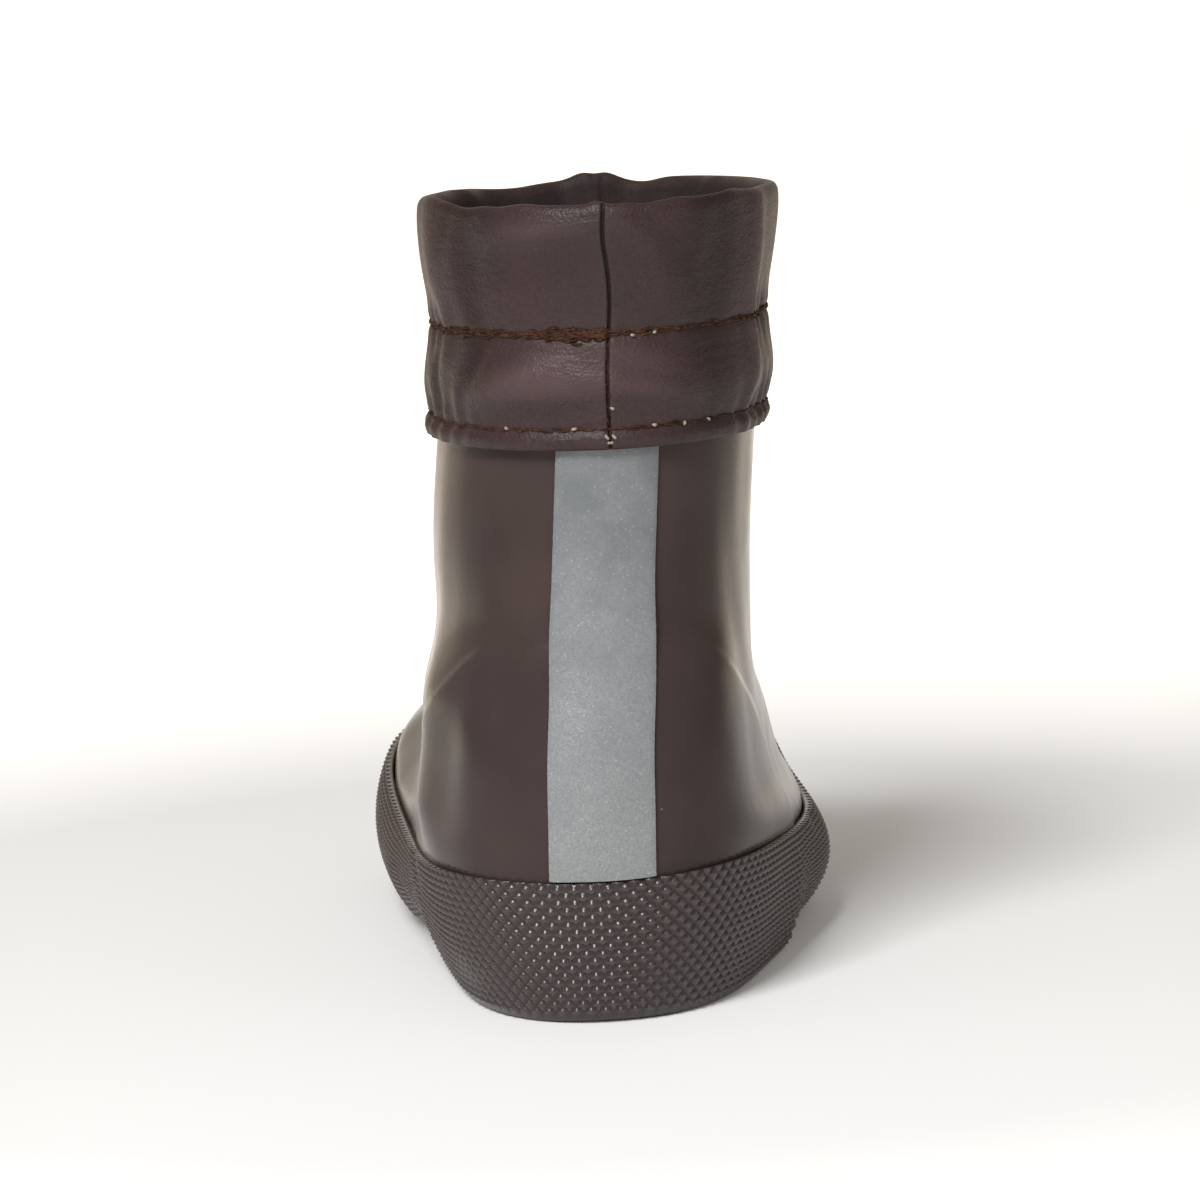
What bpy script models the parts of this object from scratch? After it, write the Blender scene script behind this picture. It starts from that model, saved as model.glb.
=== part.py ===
"""Child's short rubber boot for the right foot, with a soft cuff folded down over its shaft.

Units are metres. The toe points along +Y, the outer (lateral) side along +X and +Z is up.
The origin is on the floor, in the middle of the boot's box.
"""

import math
from collections import namedtuple

import bmesh
import bpy
import numpy as np

MM = 0.001

# Driving sizes
SOLE_LENGTH = 172 * MM
UPPER_WALL = 2.2 * MM
FIT_GAP = 0.3 * MM
POINTS_AROUND = 64
BOX_MIDDLE_X = 0.8 * MM

# Outsole
SIDEWALL_LEDGE = 1.5 * MM
HEEL_BULGE = 0.6 * MM
BALL_BULGE = 3.5 * MM
LIP_HEIGHT = 2.4 * MM
HEEL_INSET = 3.7 * MM
WAIST_INSET = 1.6 * MM
BALL_INSET = 0.8 * MM
TOE_INSET = 4.0 * MM
MEDIAL_TUCK = 2.6 * MM
HEEL_REST = (9 * MM, 50 * MM)
BALL_REST = (92 * MM, 130 * MM)
ARCH_RISE = 3.6 * MM
TOE_SPRING = 7.0 * MM
HEEL_BEVEL = 1.0 * MM
GROOVE_WIDTH = 3.2 * MM
GROOVE_DEPTH = 2.6 * MM
GROOVE_PITCH = 8.0 * MM
TREAD_RIM = 5.0 * MM
HEEL_GROOVES = 5
FOREFOOT_GROOVES = 8

# Insole
INSOLE_THICKNESS = 3.0 * MM
INSOLE_EDGE_GAP = 0.5 * MM

# Heel counter, a thicker patch of the upper's wall
COUNTER_STEP = 0.7 * MM
COUNTER_ROOT = 0.9 * MM
COUNTER_TOP_RISE = 4.75
COUNTER_HALF_TURN = math.radians(74)
COUNTER_SQUARENESS = 2.6

# Reflective stripe down the back
STRIPE_WIDTH = 16 * MM
STRIPE_THICKNESS = 0.4 * MM
STRIPE_UNDER_CUFF = 0.18

# Cuff, a coated cloth tube folded down outside the shaft
CUFF_CLOTH = 1.3 * MM
CUFF_HEM_GAP = 1.0 * MM
CUFF_INNER_RISE = 6.9
CUFF_WAVE = 0.5 * MM

# Sections of the upper's outer skin, from the edge that meets the sole up to the cuff's fold.
# Lengths are millimetres. y runs from the back of the heel, z from the floor, and a section is a
# closed ring from its back point to its front point. mid_lift raises its middle. lat and med are
# half widths to the outer and inner side, at the rear, mid and fore stations along the ring.
Section = namedtuple(
    "Section",
    "name back_y front_y back_z front_z mid_lift heel_radius toe_radius "
    "lat_rear lat_mid lat_fore med_rear med_mid med_fore lean_x",
)
SECTIONS = [
    Section("feather", 6.6, 160.5, 10.0, 13.0, -5.0, 18, 30, 22.8, 31.6, 30.2, 21.8, 25.8, 31.2, 0.0),
    Section("bite", 2.2, 168.9, 22.8, 28.6, -5.6, 22, 36, 27.7, 36.2, 33.0, 26.6, 31.5, 35.5, 0.0),
    Section("widest", 1.8, 167.5, 31.0, 34.6, -4.2, 22, 34, 26.8, 32.8, 30.0, 25.8, 28.4, 29.4, 0.3),
    Section("toe_top", 3.0, 158.0, 41.0, 42.0, -1.0, 23, 30, 25.3, 29.2, 25.6, 24.8, 28.0, 25.0, 0.7),
    Section("vamp", 5.2, 136.0, 50.0, 47.5, 0.0, 22, 23, 23.8, 26.4, 24.4, 25.0, 28.0, 26.2, 1.4),
    Section("instep", 7.4, 112.0, 60.0, 57.5, 0.0, 21, 19, 21.7, 25.7, 23.2, 22.2, 26.3, 24.0, 2.0),
    Section("ankle", 9.0, 96.5, 74.0, 73.5, 0.0, 19, 16, 20.2, 25.3, 22.4, 21.2, 26.8, 23.6, 3.0),
    Section("shaft", 8.2, 90.0, 95.0, 97.5, 0.0, 19, 17, 20.2, 25.3, 22.6, 20.5, 26.0, 22.9, 4.7),
    Section("shaft_top", 6.5, 88.5, 115.0, 117.0, 0.0, 19, 18, 19.8, 24.8, 22.0, 21.2, 26.7, 23.7, 6.1),
    Section("fold", 5.5, 88.5, 127.4, 128.8, 0.0, 19, 18, 20.0, 24.9, 22.2, 21.3, 26.9, 23.8, 6.6),
]
STATIONS = np.array([0.0, 0.18, 0.45, 0.72, 1.0])
BITE = 1
SHAFT_TOP = 8
COUNTER_FOOT = BITE + 0.05

# Rows of the upper's wall, as places between sections
UPPER_RISES = [0, 0.35, 0.7, 1, 1.5, 2, 2.5, 3, 3.5, 4, 4.4, 4.8, 5.2, 5.6, 6, 6.5, 7, 7.5, 8]

# Outside of the cuff from its hem up to its fold: place between sections, and how far it stands out
CuffRow = namedtuple("CuffRow", "name rise out")
CUFF_OUTSIDE = [
    CuffRow("hem_edge", 6.73, 1.9 * MM),
    CuffRow("hem_roll", 6.81, 2.3 * MM),
    CuffRow("hem_stitch", 6.89, 1.8 * MM),
    CuffRow("lower_band", 7.15, 2.6 * MM),
    CuffRow("lower_band_top", 7.45, 2.5 * MM),
    CuffRow("middle_stitch", 7.66, 1.5 * MM),
    CuffRow("upper_band", 7.95, 2.2 * MM),
    CuffRow("upper_flare", 8.40, 3.0 * MM),
    CuffRow("roll_shoulder", 8.78, 3.3 * MM),
    CuffRow("roll_outer", 8.95, 2.3 * MM),
    CuffRow("roll_top", 9.00, 0.2 * MM),
    CuffRow("roll_inner", 8.95, -1.9 * MM),
    CuffRow("mouth", 8.70, -3.1 * MM),
]


def spline_through(knots, values, at):
    """Natural cubic spline along the first axis of values. Column i of values is read at place at[i]."""
    knots = np.asarray(knots, float)
    values = np.asarray(values, float)
    at = np.asarray(at, float)
    if values.ndim == 1:
        values = np.repeat(values[:, None], len(at), axis=1)
    count = len(knots)
    gaps = np.diff(knots)
    flat = values.reshape(count, -1)
    slopes = np.diff(flat, axis=0) / gaps[:, None]
    matrix = np.eye(count)
    right = np.zeros_like(flat)
    for i in range(1, count - 1):
        matrix[i, i - 1 : i + 2] = gaps[i - 1], 2 * (gaps[i - 1] + gaps[i]), gaps[i]
        right[i] = 6 * (slopes[i] - slopes[i - 1])
    bends = np.linalg.solve(matrix, right).reshape(values.shape)
    span = np.clip(np.searchsorted(knots, at, side="right") - 1, 0, count - 2)
    column = np.arange(len(at))
    shape = (-1,) + (1,) * (values.ndim - 2)
    wide = gaps[span].reshape(shape)
    after = (at - knots[span]).reshape(shape)
    before = wide - after
    low_bend, high_bend = bends[span, column], bends[span + 1, column]
    low, high = values[span, column], values[span + 1, column]
    curve = (low_bend * before**3 + high_bend * after**3) / (6 * wide)
    line = (low / wide - low_bend * wide / 6) * before + (high / wide - high_bend * wide / 6) * after
    return curve + line


def section_ring(section, turns):
    """Points of one section at the angles in turns: 0 at the back, a quarter turn on the outer side."""
    along = (1 - np.cos(turns)) / 2
    length = section.front_y - section.back_y
    ends = math.sqrt(section.heel_radius * length / 2), math.sqrt(section.toe_radius * length / 2)
    chord = 2 * np.sqrt(STATIONS[1:-1] * (1 - STATIONS[1:-1]))
    lateral = np.array([section.lat_rear, section.lat_mid, section.lat_fore]) / chord
    medial = np.array([section.med_rear, section.med_mid, section.med_fore]) / chord
    lateral = spline_through(STATIONS, [ends[0], *lateral, ends[1]], along)
    medial = spline_through(STATIONS, [ends[0], *medial, ends[1]], along)
    side = np.sin(turns)
    x = section.lean_x + side * np.where(side >= 0, lateral, medial)
    y = section.back_y + length * along
    z = section.back_z + (section.front_z - section.back_z) * along
    z = z + section.mid_lift * (4 * along * (1 - along)) ** 2
    return np.stack([x * MM - BOX_MIDDLE_X, y * MM - SOLE_LENGTH / 2, z * MM], axis=-1)


def skin(turns, rises):
    """Upper's outer skin at matching arrays of angle and place between sections."""
    turns, rises = np.broadcast_arrays(np.asarray(turns, float), np.asarray(rises, float))
    rings = np.stack([section_ring(section, turns.ravel()) for section in SECTIONS])
    points = spline_through(np.arange(len(SECTIONS)), rings, rises.ravel())
    return points.reshape(*turns.shape, 3)


def skin_out(turns, rises, out):
    """Skin moved along its outward normal by out."""
    turns, rises, out = np.broadcast_arrays(*(np.asarray(v, float) for v in (turns, rises, out)))
    step = 1e-3
    around = skin(turns + step, rises) - skin(turns - step, rises)
    upward = skin(turns, rises + step) - skin(turns, rises - step)
    normal = np.cross(around, upward)
    normal /= np.linalg.norm(normal, axis=-1, keepdims=True)
    return skin(turns, rises) + out[..., None] * normal


TURNS = np.arange(POINTS_AROUND) * 2 * math.pi / POINTS_AROUND


def mesh_object(name, mesh, material):
    """Object of that mesh in the boot's collection, with smooth shading and sharp edges kept."""
    mesh.materials.append(material)
    mesh.shade_smooth()
    mesh.set_sharp_from_angle(angle=math.radians(40))
    made = bpy.data.objects.new(name, mesh)
    boot_parts.objects.link(made)
    return made


def material_of(name, colour, roughness):
    """Plain material of one piece."""
    made = bpy.data.materials.new(name)
    made.use_nodes = True
    shader = made.node_tree.nodes["Principled BSDF"]
    shader.inputs["Base Color"].default_value = (*colour, 1)
    shader.inputs["Roughness"].default_value = roughness
    shader.inputs["Metallic"].default_value = 0
    return made


def ladder(mesh, ring):
    """Closes a ring by faces across it, from each point on one side to its partner on the other."""
    half = len(ring) // 2
    mesh.faces.new((ring[0], ring[1], ring[-1]))
    for i in range(1, half - 1):
        mesh.faces.new((ring[i], ring[i + 1], ring[-i - 1], ring[-i]))
    mesh.faces.new((ring[half - 1], ring[half], ring[half + 1]))


def loft(name, rings, wrap=False, caps=False):
    """Mesh through rings of equal length. wrap joins the last to the first, caps closes both ends."""
    made = bmesh.new()
    rows = [[made.verts.new(point) for point in ring] for ring in rings]
    pairs = list(zip(rows, rows[1:] + rows[:1])) if wrap else list(zip(rows, rows[1:]))
    for low, high in pairs:
        for i in range(len(low)):
            j = (i + 1) % len(low)
            made.faces.new((low[i], low[j], high[j], high[i]))
    if caps:
        ladder(made, rows[0])
        ladder(made, rows[-1])
    bmesh.ops.recalc_face_normals(made, faces=made.faces)
    mesh = bpy.data.meshes.new(name)
    made.to_mesh(mesh)
    made.free()
    return mesh


def patch(name, inner, outer):
    """Mesh of a thin plate between two grids of points of the same size."""
    made = bmesh.new()
    rows, columns = inner.shape[:2]
    low = [[made.verts.new(point) for point in row] for row in inner]
    high = [[made.verts.new(point) for point in row] for row in outer]
    for i in range(rows - 1):
        for j in range(columns - 1):
            for grid in (low, high):
                made.faces.new((grid[i][j], grid[i][j + 1], grid[i + 1][j + 1], grid[i + 1][j]))
    rim = [(0, j) for j in range(columns)] + [(i, columns - 1) for i in range(1, rows)]
    rim += [(rows - 1, j) for j in range(columns - 2, -1, -1)] + [(i, 0) for i in range(rows - 2, 0, -1)]
    for (i, j), (k, m) in zip(rim, rim[1:] + rim[:1]):
        made.faces.new((low[i][j], low[k][m], high[k][m], high[i][j]))
    bmesh.ops.recalc_face_normals(made, faces=made.faces)
    mesh = bpy.data.meshes.new(name)
    made.to_mesh(mesh)
    made.free()
    return mesh


def boolean(target, other, operation):
    """Live Boolean of another object on target, which hides the other from the render."""
    modifier = target.modifiers.new(f"{operation.lower()}_{other.name}", "BOOLEAN")
    modifier.operation = operation
    modifier.object = other
    other.hide_render = True
    other.display_type = "WIRE"


def smooth_step(low, high, value):
    """0 below low, 1 above high, with a smooth rise between."""
    share = np.clip((value - low) / (high - low), 0, 1)
    return share * share * (3 - 2 * share)


def tread_height(y):
    """Height of the underside over the floor: flat at heel and ball, raised between them and at the toe."""
    arch_middle = (HEEL_REST[1] + BALL_REST[0]) / 2
    arch = smooth_step(HEEL_REST[1], HEEL_REST[1] + 9 * MM, y)
    arch = arch * (1 - smooth_step(arch_middle, BALL_REST[0], y))
    spring = np.clip((y - BALL_REST[1]) / (SOLE_LENGTH - BALL_REST[1]), 0, 1) ** 2
    bevel = np.clip((HEEL_REST[0] - y) / HEEL_REST[0], 0, 1) ** 2
    return ARCH_RISE * arch + TOE_SPRING * spring + HEEL_BEVEL * bevel


def from_heel(points):
    """Distance of points from the back of the heel, along the boot."""
    return points[..., 1] + SOLE_LENGTH / 2


def sidewall(height):
    """Ring of the sole's outer side at a share of its height, 0 at the floor and 1 at the top edge."""
    top = skin(TURNS, BITE)
    ahead, behind = np.roll(top, -1, axis=0), np.roll(top, 1, axis=0)
    run = (ahead - behind)[:, :2]
    normal = np.stack([run[:, 1], -run[:, 0]], axis=1)
    normal /= np.linalg.norm(normal, axis=1, keepdims=True)
    share = from_heel(top) / SOLE_LENGTH
    insets = [HEEL_INSET, HEEL_INSET, WAIST_INSET, BALL_INSET, TOE_INSET]
    inset = spline_through([0, 0.2, 0.42, 0.68, 1], insets, share)
    inset = inset + MEDIAL_TUCK * np.clip(-np.sin(TURNS), 0, 1) ** 2
    foot = top[:, :2] + normal * (SIDEWALL_LEDGE - inset)[:, None]
    ground = tread_height(foot[:, 1] + SOLE_LENGTH / 2)
    bulge = HEEL_BULGE + (BALL_BULGE - HEEL_BULGE) * smooth_step(0.2, 0.5, share)
    out = SIDEWALL_LEDGE + bulge * 4 * height * (1 - height) - inset * (1 - height) ** 1.1
    place = top[:, :2] + normal * out[:, None]
    level = ground + (top[:, 2] - ground) * height
    return np.column_stack([place, level])


def outsole_mesh():
    """Cup sole: ground ring, plain lip, tapered side and ledge, then the cup's inside down to its floor."""
    ground = sidewall(0.0)
    lip_share = LIP_HEIGHT / SECTIONS[BITE].back_z / MM
    lip = ground + np.array([0, 0, LIP_HEIGHT])
    rings = [ground, lip]
    rings += [sidewall(height) for height in (lip_share + 0.03, 0.32, 0.54, 0.77, 1.0)]
    rings += [skin_out(TURNS, rise, FIT_GAP) for rise in (1.0, 0.7, 0.35, 0.0)]
    rings[-1][:, 2] -= FIT_GAP
    return loft("outsole", rings, caps=True)


def tread_cutter(number, y):
    """Bar that cuts one groove across the underside, inside a plain rim and following the toe spring."""
    ground = sidewall(0.0)
    half = POINTS_AROUND // 2
    outer, inner = ground[: half + 1], ground[half:][::-1]
    right = np.interp(y, from_heel(outer), outer[:, 0]) - TREAD_RIM
    left = np.interp(y, from_heel(inner), inner[:, 0]) + TREAD_RIM
    slope = math.atan2(tread_height(y + MM) - tread_height(y - MM), 2 * MM)
    place = ((left + right) / 2, y - SOLE_LENGTH / 2, tread_height(y))
    bpy.ops.mesh.primitive_cube_add(size=1, location=place)
    bar = bpy.context.object
    bar.name = f"tread_groove_{number:02d}"
    bar.rotation_euler.x = slope
    bar.scale = (right - left, GROOVE_WIDTH, 2 * GROOVE_DEPTH)
    for collection in bar.users_collection:
        collection.objects.unlink(bar)
    cutters.objects.link(bar)
    return bar


def make_outsole():
    """Outsole with its grooves cut in the heel and the forefoot."""
    rubber = material_of("sole_rubber", (0.055, 0.043, 0.039), 0.5)
    sole = mesh_object("outsole", outsole_mesh(), rubber)
    heel_start = HEEL_REST[0] + GROOVE_PITCH
    places = [heel_start + i * GROOVE_PITCH for i in range(HEEL_GROOVES)]
    places += [BALL_REST[0] + GROOVE_WIDTH + i * GROOVE_PITCH for i in range(FOREFOOT_GROOVES)]
    for number, y in enumerate(places):
        boolean(sole, tread_cutter(number, y), "DIFFERENCE")
    return sole


def counter_edge(turns):
    """Place between sections of the counter's upper edge, an arch over the heel."""
    share = np.clip(np.abs(turns) / COUNTER_HALF_TURN, 0, 1)
    arch = (1 - share**COUNTER_SQUARENESS) ** (1 / COUNTER_SQUARENESS)
    return COUNTER_FOOT + 0.06 + (COUNTER_TOP_RISE - COUNTER_FOOT) * arch


def make_upper():
    """Hollow rubber upper, open at the top and underneath, with the heel counter as a step in its wall."""
    rings = [skin_out(TURNS, rise, 0) for rise in UPPER_RISES]
    rings += [skin_out(TURNS, rise, -UPPER_WALL) for rise in reversed(UPPER_RISES)]
    rubber = material_of("upper_rubber", (0.075, 0.060, 0.056), 0.42)
    upper = mesh_object("upper", loft("upper", rings, wrap=True), rubber)
    turns = np.sin(np.linspace(-1, 1, 27) * math.pi / 2) * COUNTER_HALF_TURN
    share = np.linspace(0, 1, 9)[:, None]
    rises = COUNTER_FOOT + (counter_edge(turns)[None, :] - COUNTER_FOOT) * share
    turns = np.broadcast_to(turns, rises.shape)
    inner = skin_out(turns, rises, -COUNTER_ROOT)
    outer = skin_out(turns, rises, COUNTER_STEP)
    counter = mesh_object("counter_patch", patch("counter", inner, outer), rubber)
    boot_parts.objects.unlink(counter)
    cutters.objects.link(counter)
    boolean(upper, counter, "UNION")
    return upper


def make_insole():
    """Flat foam insole on the cup's floor, inside the upper's wall."""
    floor = skin_out(TURNS, 0.0, FIT_GAP)[:, 2] - FIT_GAP
    outline = skin_out(TURNS, 0.0, -UPPER_WALL - INSOLE_EDGE_GAP)
    under = np.column_stack([outline[:, :2], floor + FIT_GAP])
    top = under + np.array([0, 0, INSOLE_THICKNESS])
    foam = material_of("insole_foam", (0.09, 0.08, 0.075), 0.9)
    return mesh_object("insole", loft("insole", [under, top], caps=True), foam)


def make_stripe():
    """Reflective tape down the back, over the counter's step, from the sole to under the cuff."""
    low, high = COUNTER_FOOT, CUFF_OUTSIDE[0].rise + STRIPE_UNDER_CUFF
    rises = np.unique(np.r_[np.linspace(low, high, 20), COUNTER_TOP_RISE - 0.02, COUNTER_TOP_RISE + 0.16])
    places = np.linspace(-1, 1, 9) * STRIPE_WIDTH / 2
    scan = np.linspace(-0.9, 0.9, 181)
    rows = []
    for rise in rises:
        run = skin(scan, rise)
        length = np.r_[0, np.cumsum(np.linalg.norm(np.diff(run, axis=0), axis=1))]
        rows.append(np.interp(places, length - length[len(scan) // 2], scan))
    turns = np.array(rows)
    rises = np.broadcast_to(rises[:, None], turns.shape)
    over = COUNTER_STEP * (1 - smooth_step(COUNTER_TOP_RISE + 0.08, COUNTER_TOP_RISE + 0.16, rises))
    inner = skin_out(turns, rises, FIT_GAP + over)
    outer = skin_out(turns, rises, FIT_GAP + over + STRIPE_THICKNESS)
    tape = material_of("reflective_tape", (0.27, 0.29, 0.30), 0.55)
    return mesh_object("reflective_stripe", patch("stripe", inner, outer), tape)


def cuff_wave(turns, rises):
    """Slack of the cuff's cloth: a few soft waves round it, growing from the middle seam to the fold."""
    fullness = smooth_step(7.6, 8.9, rises)
    waves = np.sin(5 * turns + 0.6) + 0.7 * np.sin(9 * turns + 2.1) + 0.5 * np.sin(14 * turns)
    return CUFF_WAVE * fullness * waves / 2.2


def make_cuff():
    """Cuff cloth in one piece: down the outside to its hem, over the fold, and down inside the shaft."""
    rings = []
    for row in CUFF_OUTSIDE:
        rings.append(skin_out(TURNS, row.rise, row.out + cuff_wave(TURNS, row.rise)))
    inside = -UPPER_WALL - FIT_GAP
    rings += [skin_out(TURNS, rise, inside - CUFF_CLOTH) for rise in (8.1, 7.5, CUFF_INNER_RISE)]
    rings += [skin_out(TURNS, rise, inside) for rise in (CUFF_INNER_RISE, 7.5, 8.0)]
    over_shaft = SHAFT_TOP + FIT_GAP / MM / 12
    rings += [skin_out(TURNS, over_shaft, inside), skin_out(TURNS, over_shaft, FIT_GAP)]
    legs = ((7.66, 0.4), (7.15, 0.8), (6.89, 0.9), (CUFF_OUTSIDE[0].rise, 1.0))
    rings += [skin_out(TURNS, rise, CUFF_HEM_GAP * share) for rise, share in legs]
    cloth = material_of("coated_cloth", (0.072, 0.052, 0.050), 0.45)
    return mesh_object("cuff", loft("cuff", rings, wrap=True), cloth)


for leftover in list(bpy.data.objects):
    bpy.data.objects.remove(leftover)
boot_parts = bpy.data.collections.new("rubber_boot")
cutters = bpy.data.collections.new("cutters")
bpy.context.scene.collection.children.link(boot_parts)
bpy.context.scene.collection.children.link(cutters)

make_outsole()
make_upper()
make_insole()
make_stripe()
make_cuff()
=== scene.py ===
"""Looks of a child's short rubber boot for the right foot, and the studio that shows it.

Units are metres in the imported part's frame: +Y from heel to toe, +X to the outer side, +Z up.
"""

import math
from collections import namedtuple

import bmesh
import bpy
import numpy as np
from mathutils import Matrix


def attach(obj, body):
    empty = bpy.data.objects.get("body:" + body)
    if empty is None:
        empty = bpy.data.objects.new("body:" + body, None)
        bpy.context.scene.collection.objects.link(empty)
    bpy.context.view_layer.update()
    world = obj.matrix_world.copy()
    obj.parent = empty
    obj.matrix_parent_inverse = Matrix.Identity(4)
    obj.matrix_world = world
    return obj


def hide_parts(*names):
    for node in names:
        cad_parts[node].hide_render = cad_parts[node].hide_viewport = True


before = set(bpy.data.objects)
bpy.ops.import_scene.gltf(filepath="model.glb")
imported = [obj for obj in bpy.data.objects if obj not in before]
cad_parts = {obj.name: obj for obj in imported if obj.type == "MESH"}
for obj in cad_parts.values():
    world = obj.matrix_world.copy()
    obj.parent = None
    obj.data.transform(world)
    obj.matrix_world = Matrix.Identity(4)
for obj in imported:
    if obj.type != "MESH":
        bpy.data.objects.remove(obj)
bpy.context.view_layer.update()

# Upper
# One hollow foot and shaft of brown natural rubber, laid up over a last and cured in one piece.
# A stiff heel counter lies between its layers and shows as a soft arch-shaped step over the heel.
# Inside it is lined with a thin knitted cloth.
MM = 0.001
SOLE_LENGTH = 172 * MM
BOX_MIDDLE_X = 0.8 * MM
UPPER_WALL = 2.2 * MM
UPPER_COLUMNS = 400
HIDDEN_ROWS = 8
COUNTER_ROWS = 113
SHAFT_ROWS = 46
LINING_ROWS = 48
LINING_GIRTH_MM = 260.0
COUNTER_STEP = 0.7 * MM
COUNTER_RIDGE = 0.12 * MM
COUNTER_RIDGE_WIDTH = 0.9 * MM
COUNTER_TOP_SOFTNESS = 3.8 * MM
COUNTER_SIDE_SOFTNESS = 1.8 * MM
COUNTER_SIDE_TURNS = (math.radians(26), math.radians(42))
COUNTER_SIDE_LOSS = 0.6
COUNTER_TOP_RISE = 4.86
ARCH_STEPS = 240
CREASE_REACH = 14 * MM
CREASE_FREE_RISE = 1.2
LAY_UP_WAVE = 0.07 * MM
UPPER_COLOUR = (0.065, 0.046, 0.043, 1)
UPPER_SHADE = (0.053, 0.038, 0.036, 1)
UPPER_SPECK = (0.30, 0.27, 0.24, 1)
UPPER_SHEEN = (1.0, 0.78, 0.5, 1)
LINING_COLOUR = (0.050, 0.040, 0.037, 1)
LINING_SHADE = (0.022, 0.017, 0.016, 1)

# Sections of the last from the edge that meets the sole up to the cuff's fold, in millimetres.
# y runs from the back of the heel and z from the floor. mid_lift raises a section's middle. lat and
# med are half widths to the outer and inner side at the rear, mid and fore stations.
Section = namedtuple(
    "Section",
    "name back_y front_y back_z front_z mid_lift heel_radius toe_radius "
    "lat_rear lat_mid lat_fore med_rear med_mid med_fore lean_x",
)
SECTIONS = [
    Section("feather", 6.6, 160.5, 10.0, 13.0, -5.0, 18, 30, 22.8, 31.6, 30.2, 21.8, 25.8, 31.2, 0.0),
    Section("bite", 2.2, 168.9, 22.8, 28.6, -5.6, 22, 36, 27.7, 36.2, 33.0, 26.6, 31.5, 35.5, 0.0),
    Section("widest", 1.8, 167.5, 31.0, 34.6, -4.2, 22, 34, 26.8, 32.8, 30.0, 25.8, 28.4, 29.4, 0.3),
    Section("toe_top", 3.0, 158.0, 41.0, 42.0, -1.0, 23, 30, 25.3, 29.2, 25.6, 24.8, 28.0, 25.0, 0.7),
    Section("vamp", 5.2, 136.0, 50.0, 47.5, 0.0, 22, 23, 23.8, 26.4, 24.4, 25.0, 28.0, 26.2, 1.4),
    Section("instep", 7.4, 112.0, 60.0, 57.5, 0.0, 21, 19, 21.7, 25.7, 23.2, 22.2, 26.3, 24.0, 2.0),
    Section("ankle", 9.0, 96.5, 74.0, 73.5, 0.0, 19, 16, 20.2, 25.3, 22.4, 21.2, 26.8, 23.6, 3.0),
    Section("shaft", 8.2, 90.0, 95.0, 97.5, 0.0, 19, 17, 20.2, 25.3, 22.6, 20.5, 26.0, 22.9, 4.7),
    Section("shaft_top", 6.5, 88.5, 115.0, 117.0, 0.0, 19, 18, 19.8, 24.8, 22.0, 21.2, 26.7, 23.7, 6.1),
    Section("fold", 5.5, 88.5, 127.4, 128.8, 0.0, 19, 18, 20.0, 24.9, 22.2, 21.3, 26.9, 23.8, 6.6),
]
LAST = Section(*map(np.array, zip(*SECTIONS)))
STATIONS = np.array([0.0, 0.18, 0.45, 0.72, 1.0])
BITE = 1
COUNTER_END = 5
SHAFT_TOP = 8
COUNTER_FOOT = BITE + 0.11

# Arch of the heel counter from its inner to its outer foot, by the angle round the boot in degrees and
# the place between sections.
ArchPoint = namedtuple("ArchPoint", "name turn rise")
COUNTER_ARCH = [
    ArchPoint("inner_foot", -69.5, COUNTER_FOOT),
    ArchPoint("inner_low", -68, 2.0),
    ArchPoint("inner_side", -63, 2.85),
    ArchPoint("inner_bend", -52, 3.80),
    ArchPoint("inner_shoulder", -40, 4.65),
    ArchPoint("inner_top", -18, 4.87),
    ArchPoint("outer_top", 16, 4.82),
    ArchPoint("outer_shoulder", 33, 4.62),
    ArchPoint("outer_bend", 46.5, 3.99),
    ArchPoint("outer_side", 56, 3.20),
    ArchPoint("outer_low", 64, 2.30),
    ArchPoint("outer_foot", 68, COUNTER_FOOT),
]

# Soft ridges and troughs of the rubber, by the angle round the boot and the place between sections.
# tilt turns the long way from level, in degrees. Lengths are millimetres, and depth is out of the wall.
Crease = namedtuple("Crease", "name turn rise tilt length width depth")
UPPER_CREASES = [
    Crease("counter_top_inner_dip", -43, 5.10, 0, 9, 4.5, -0.35),
    Crease("counter_top_inner_bump", -21, 4.78, 6, 5, 3.0, 0.14),
    Crease("counter_top_outer_dip", 31, 5.05, 0, 9, 4.5, -0.35),
    Crease("counter_top_outer_bump", 36, 4.62, -25, 6, 2.5, 0.18),
    Crease("heel_inner_fullness", -54, 2.35, 86, 15, 9.5, 2.6),
    Crease("heel_outer_hollow", 48, 2.7, 98, 24, 8, -0.60),
    Crease("heel_inner_swell", -28, 2.4, 90, 22, 7, 0.30),
    Crease("ankle_inner_ripple", -97, 5.5, 78, 24, 6, -0.55),
    Crease("ankle_outer_ripple", 92, 5.3, 104, 24, 6, -0.50),
    Crease("instep_fold_low", 178, 4.9, 0, 16, 4, -0.55),
    Crease("instep_fold_high", -176, 5.6, 4, 15, 4, -0.45),
    Crease("instep_swell", 180, 5.25, 0, 18, 5, 0.35),
]

# Faint waves of hand-laid rubber: share of the height, number round the boot, drift with the rise.
Wave = namedtuple("Wave", "name height number drift phase")
LAY_UP_WAVES = [
    Wave("middle", 1.0, 7, 0.9, 0.0),
    Wave("close", 0.7, 13, -1.7, 1.1),
    Wave("broad", 0.6, 4, 2.9, 0.4),
    Wave("fine", 0.4, 23, 0.6, 0.0),
]


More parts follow.
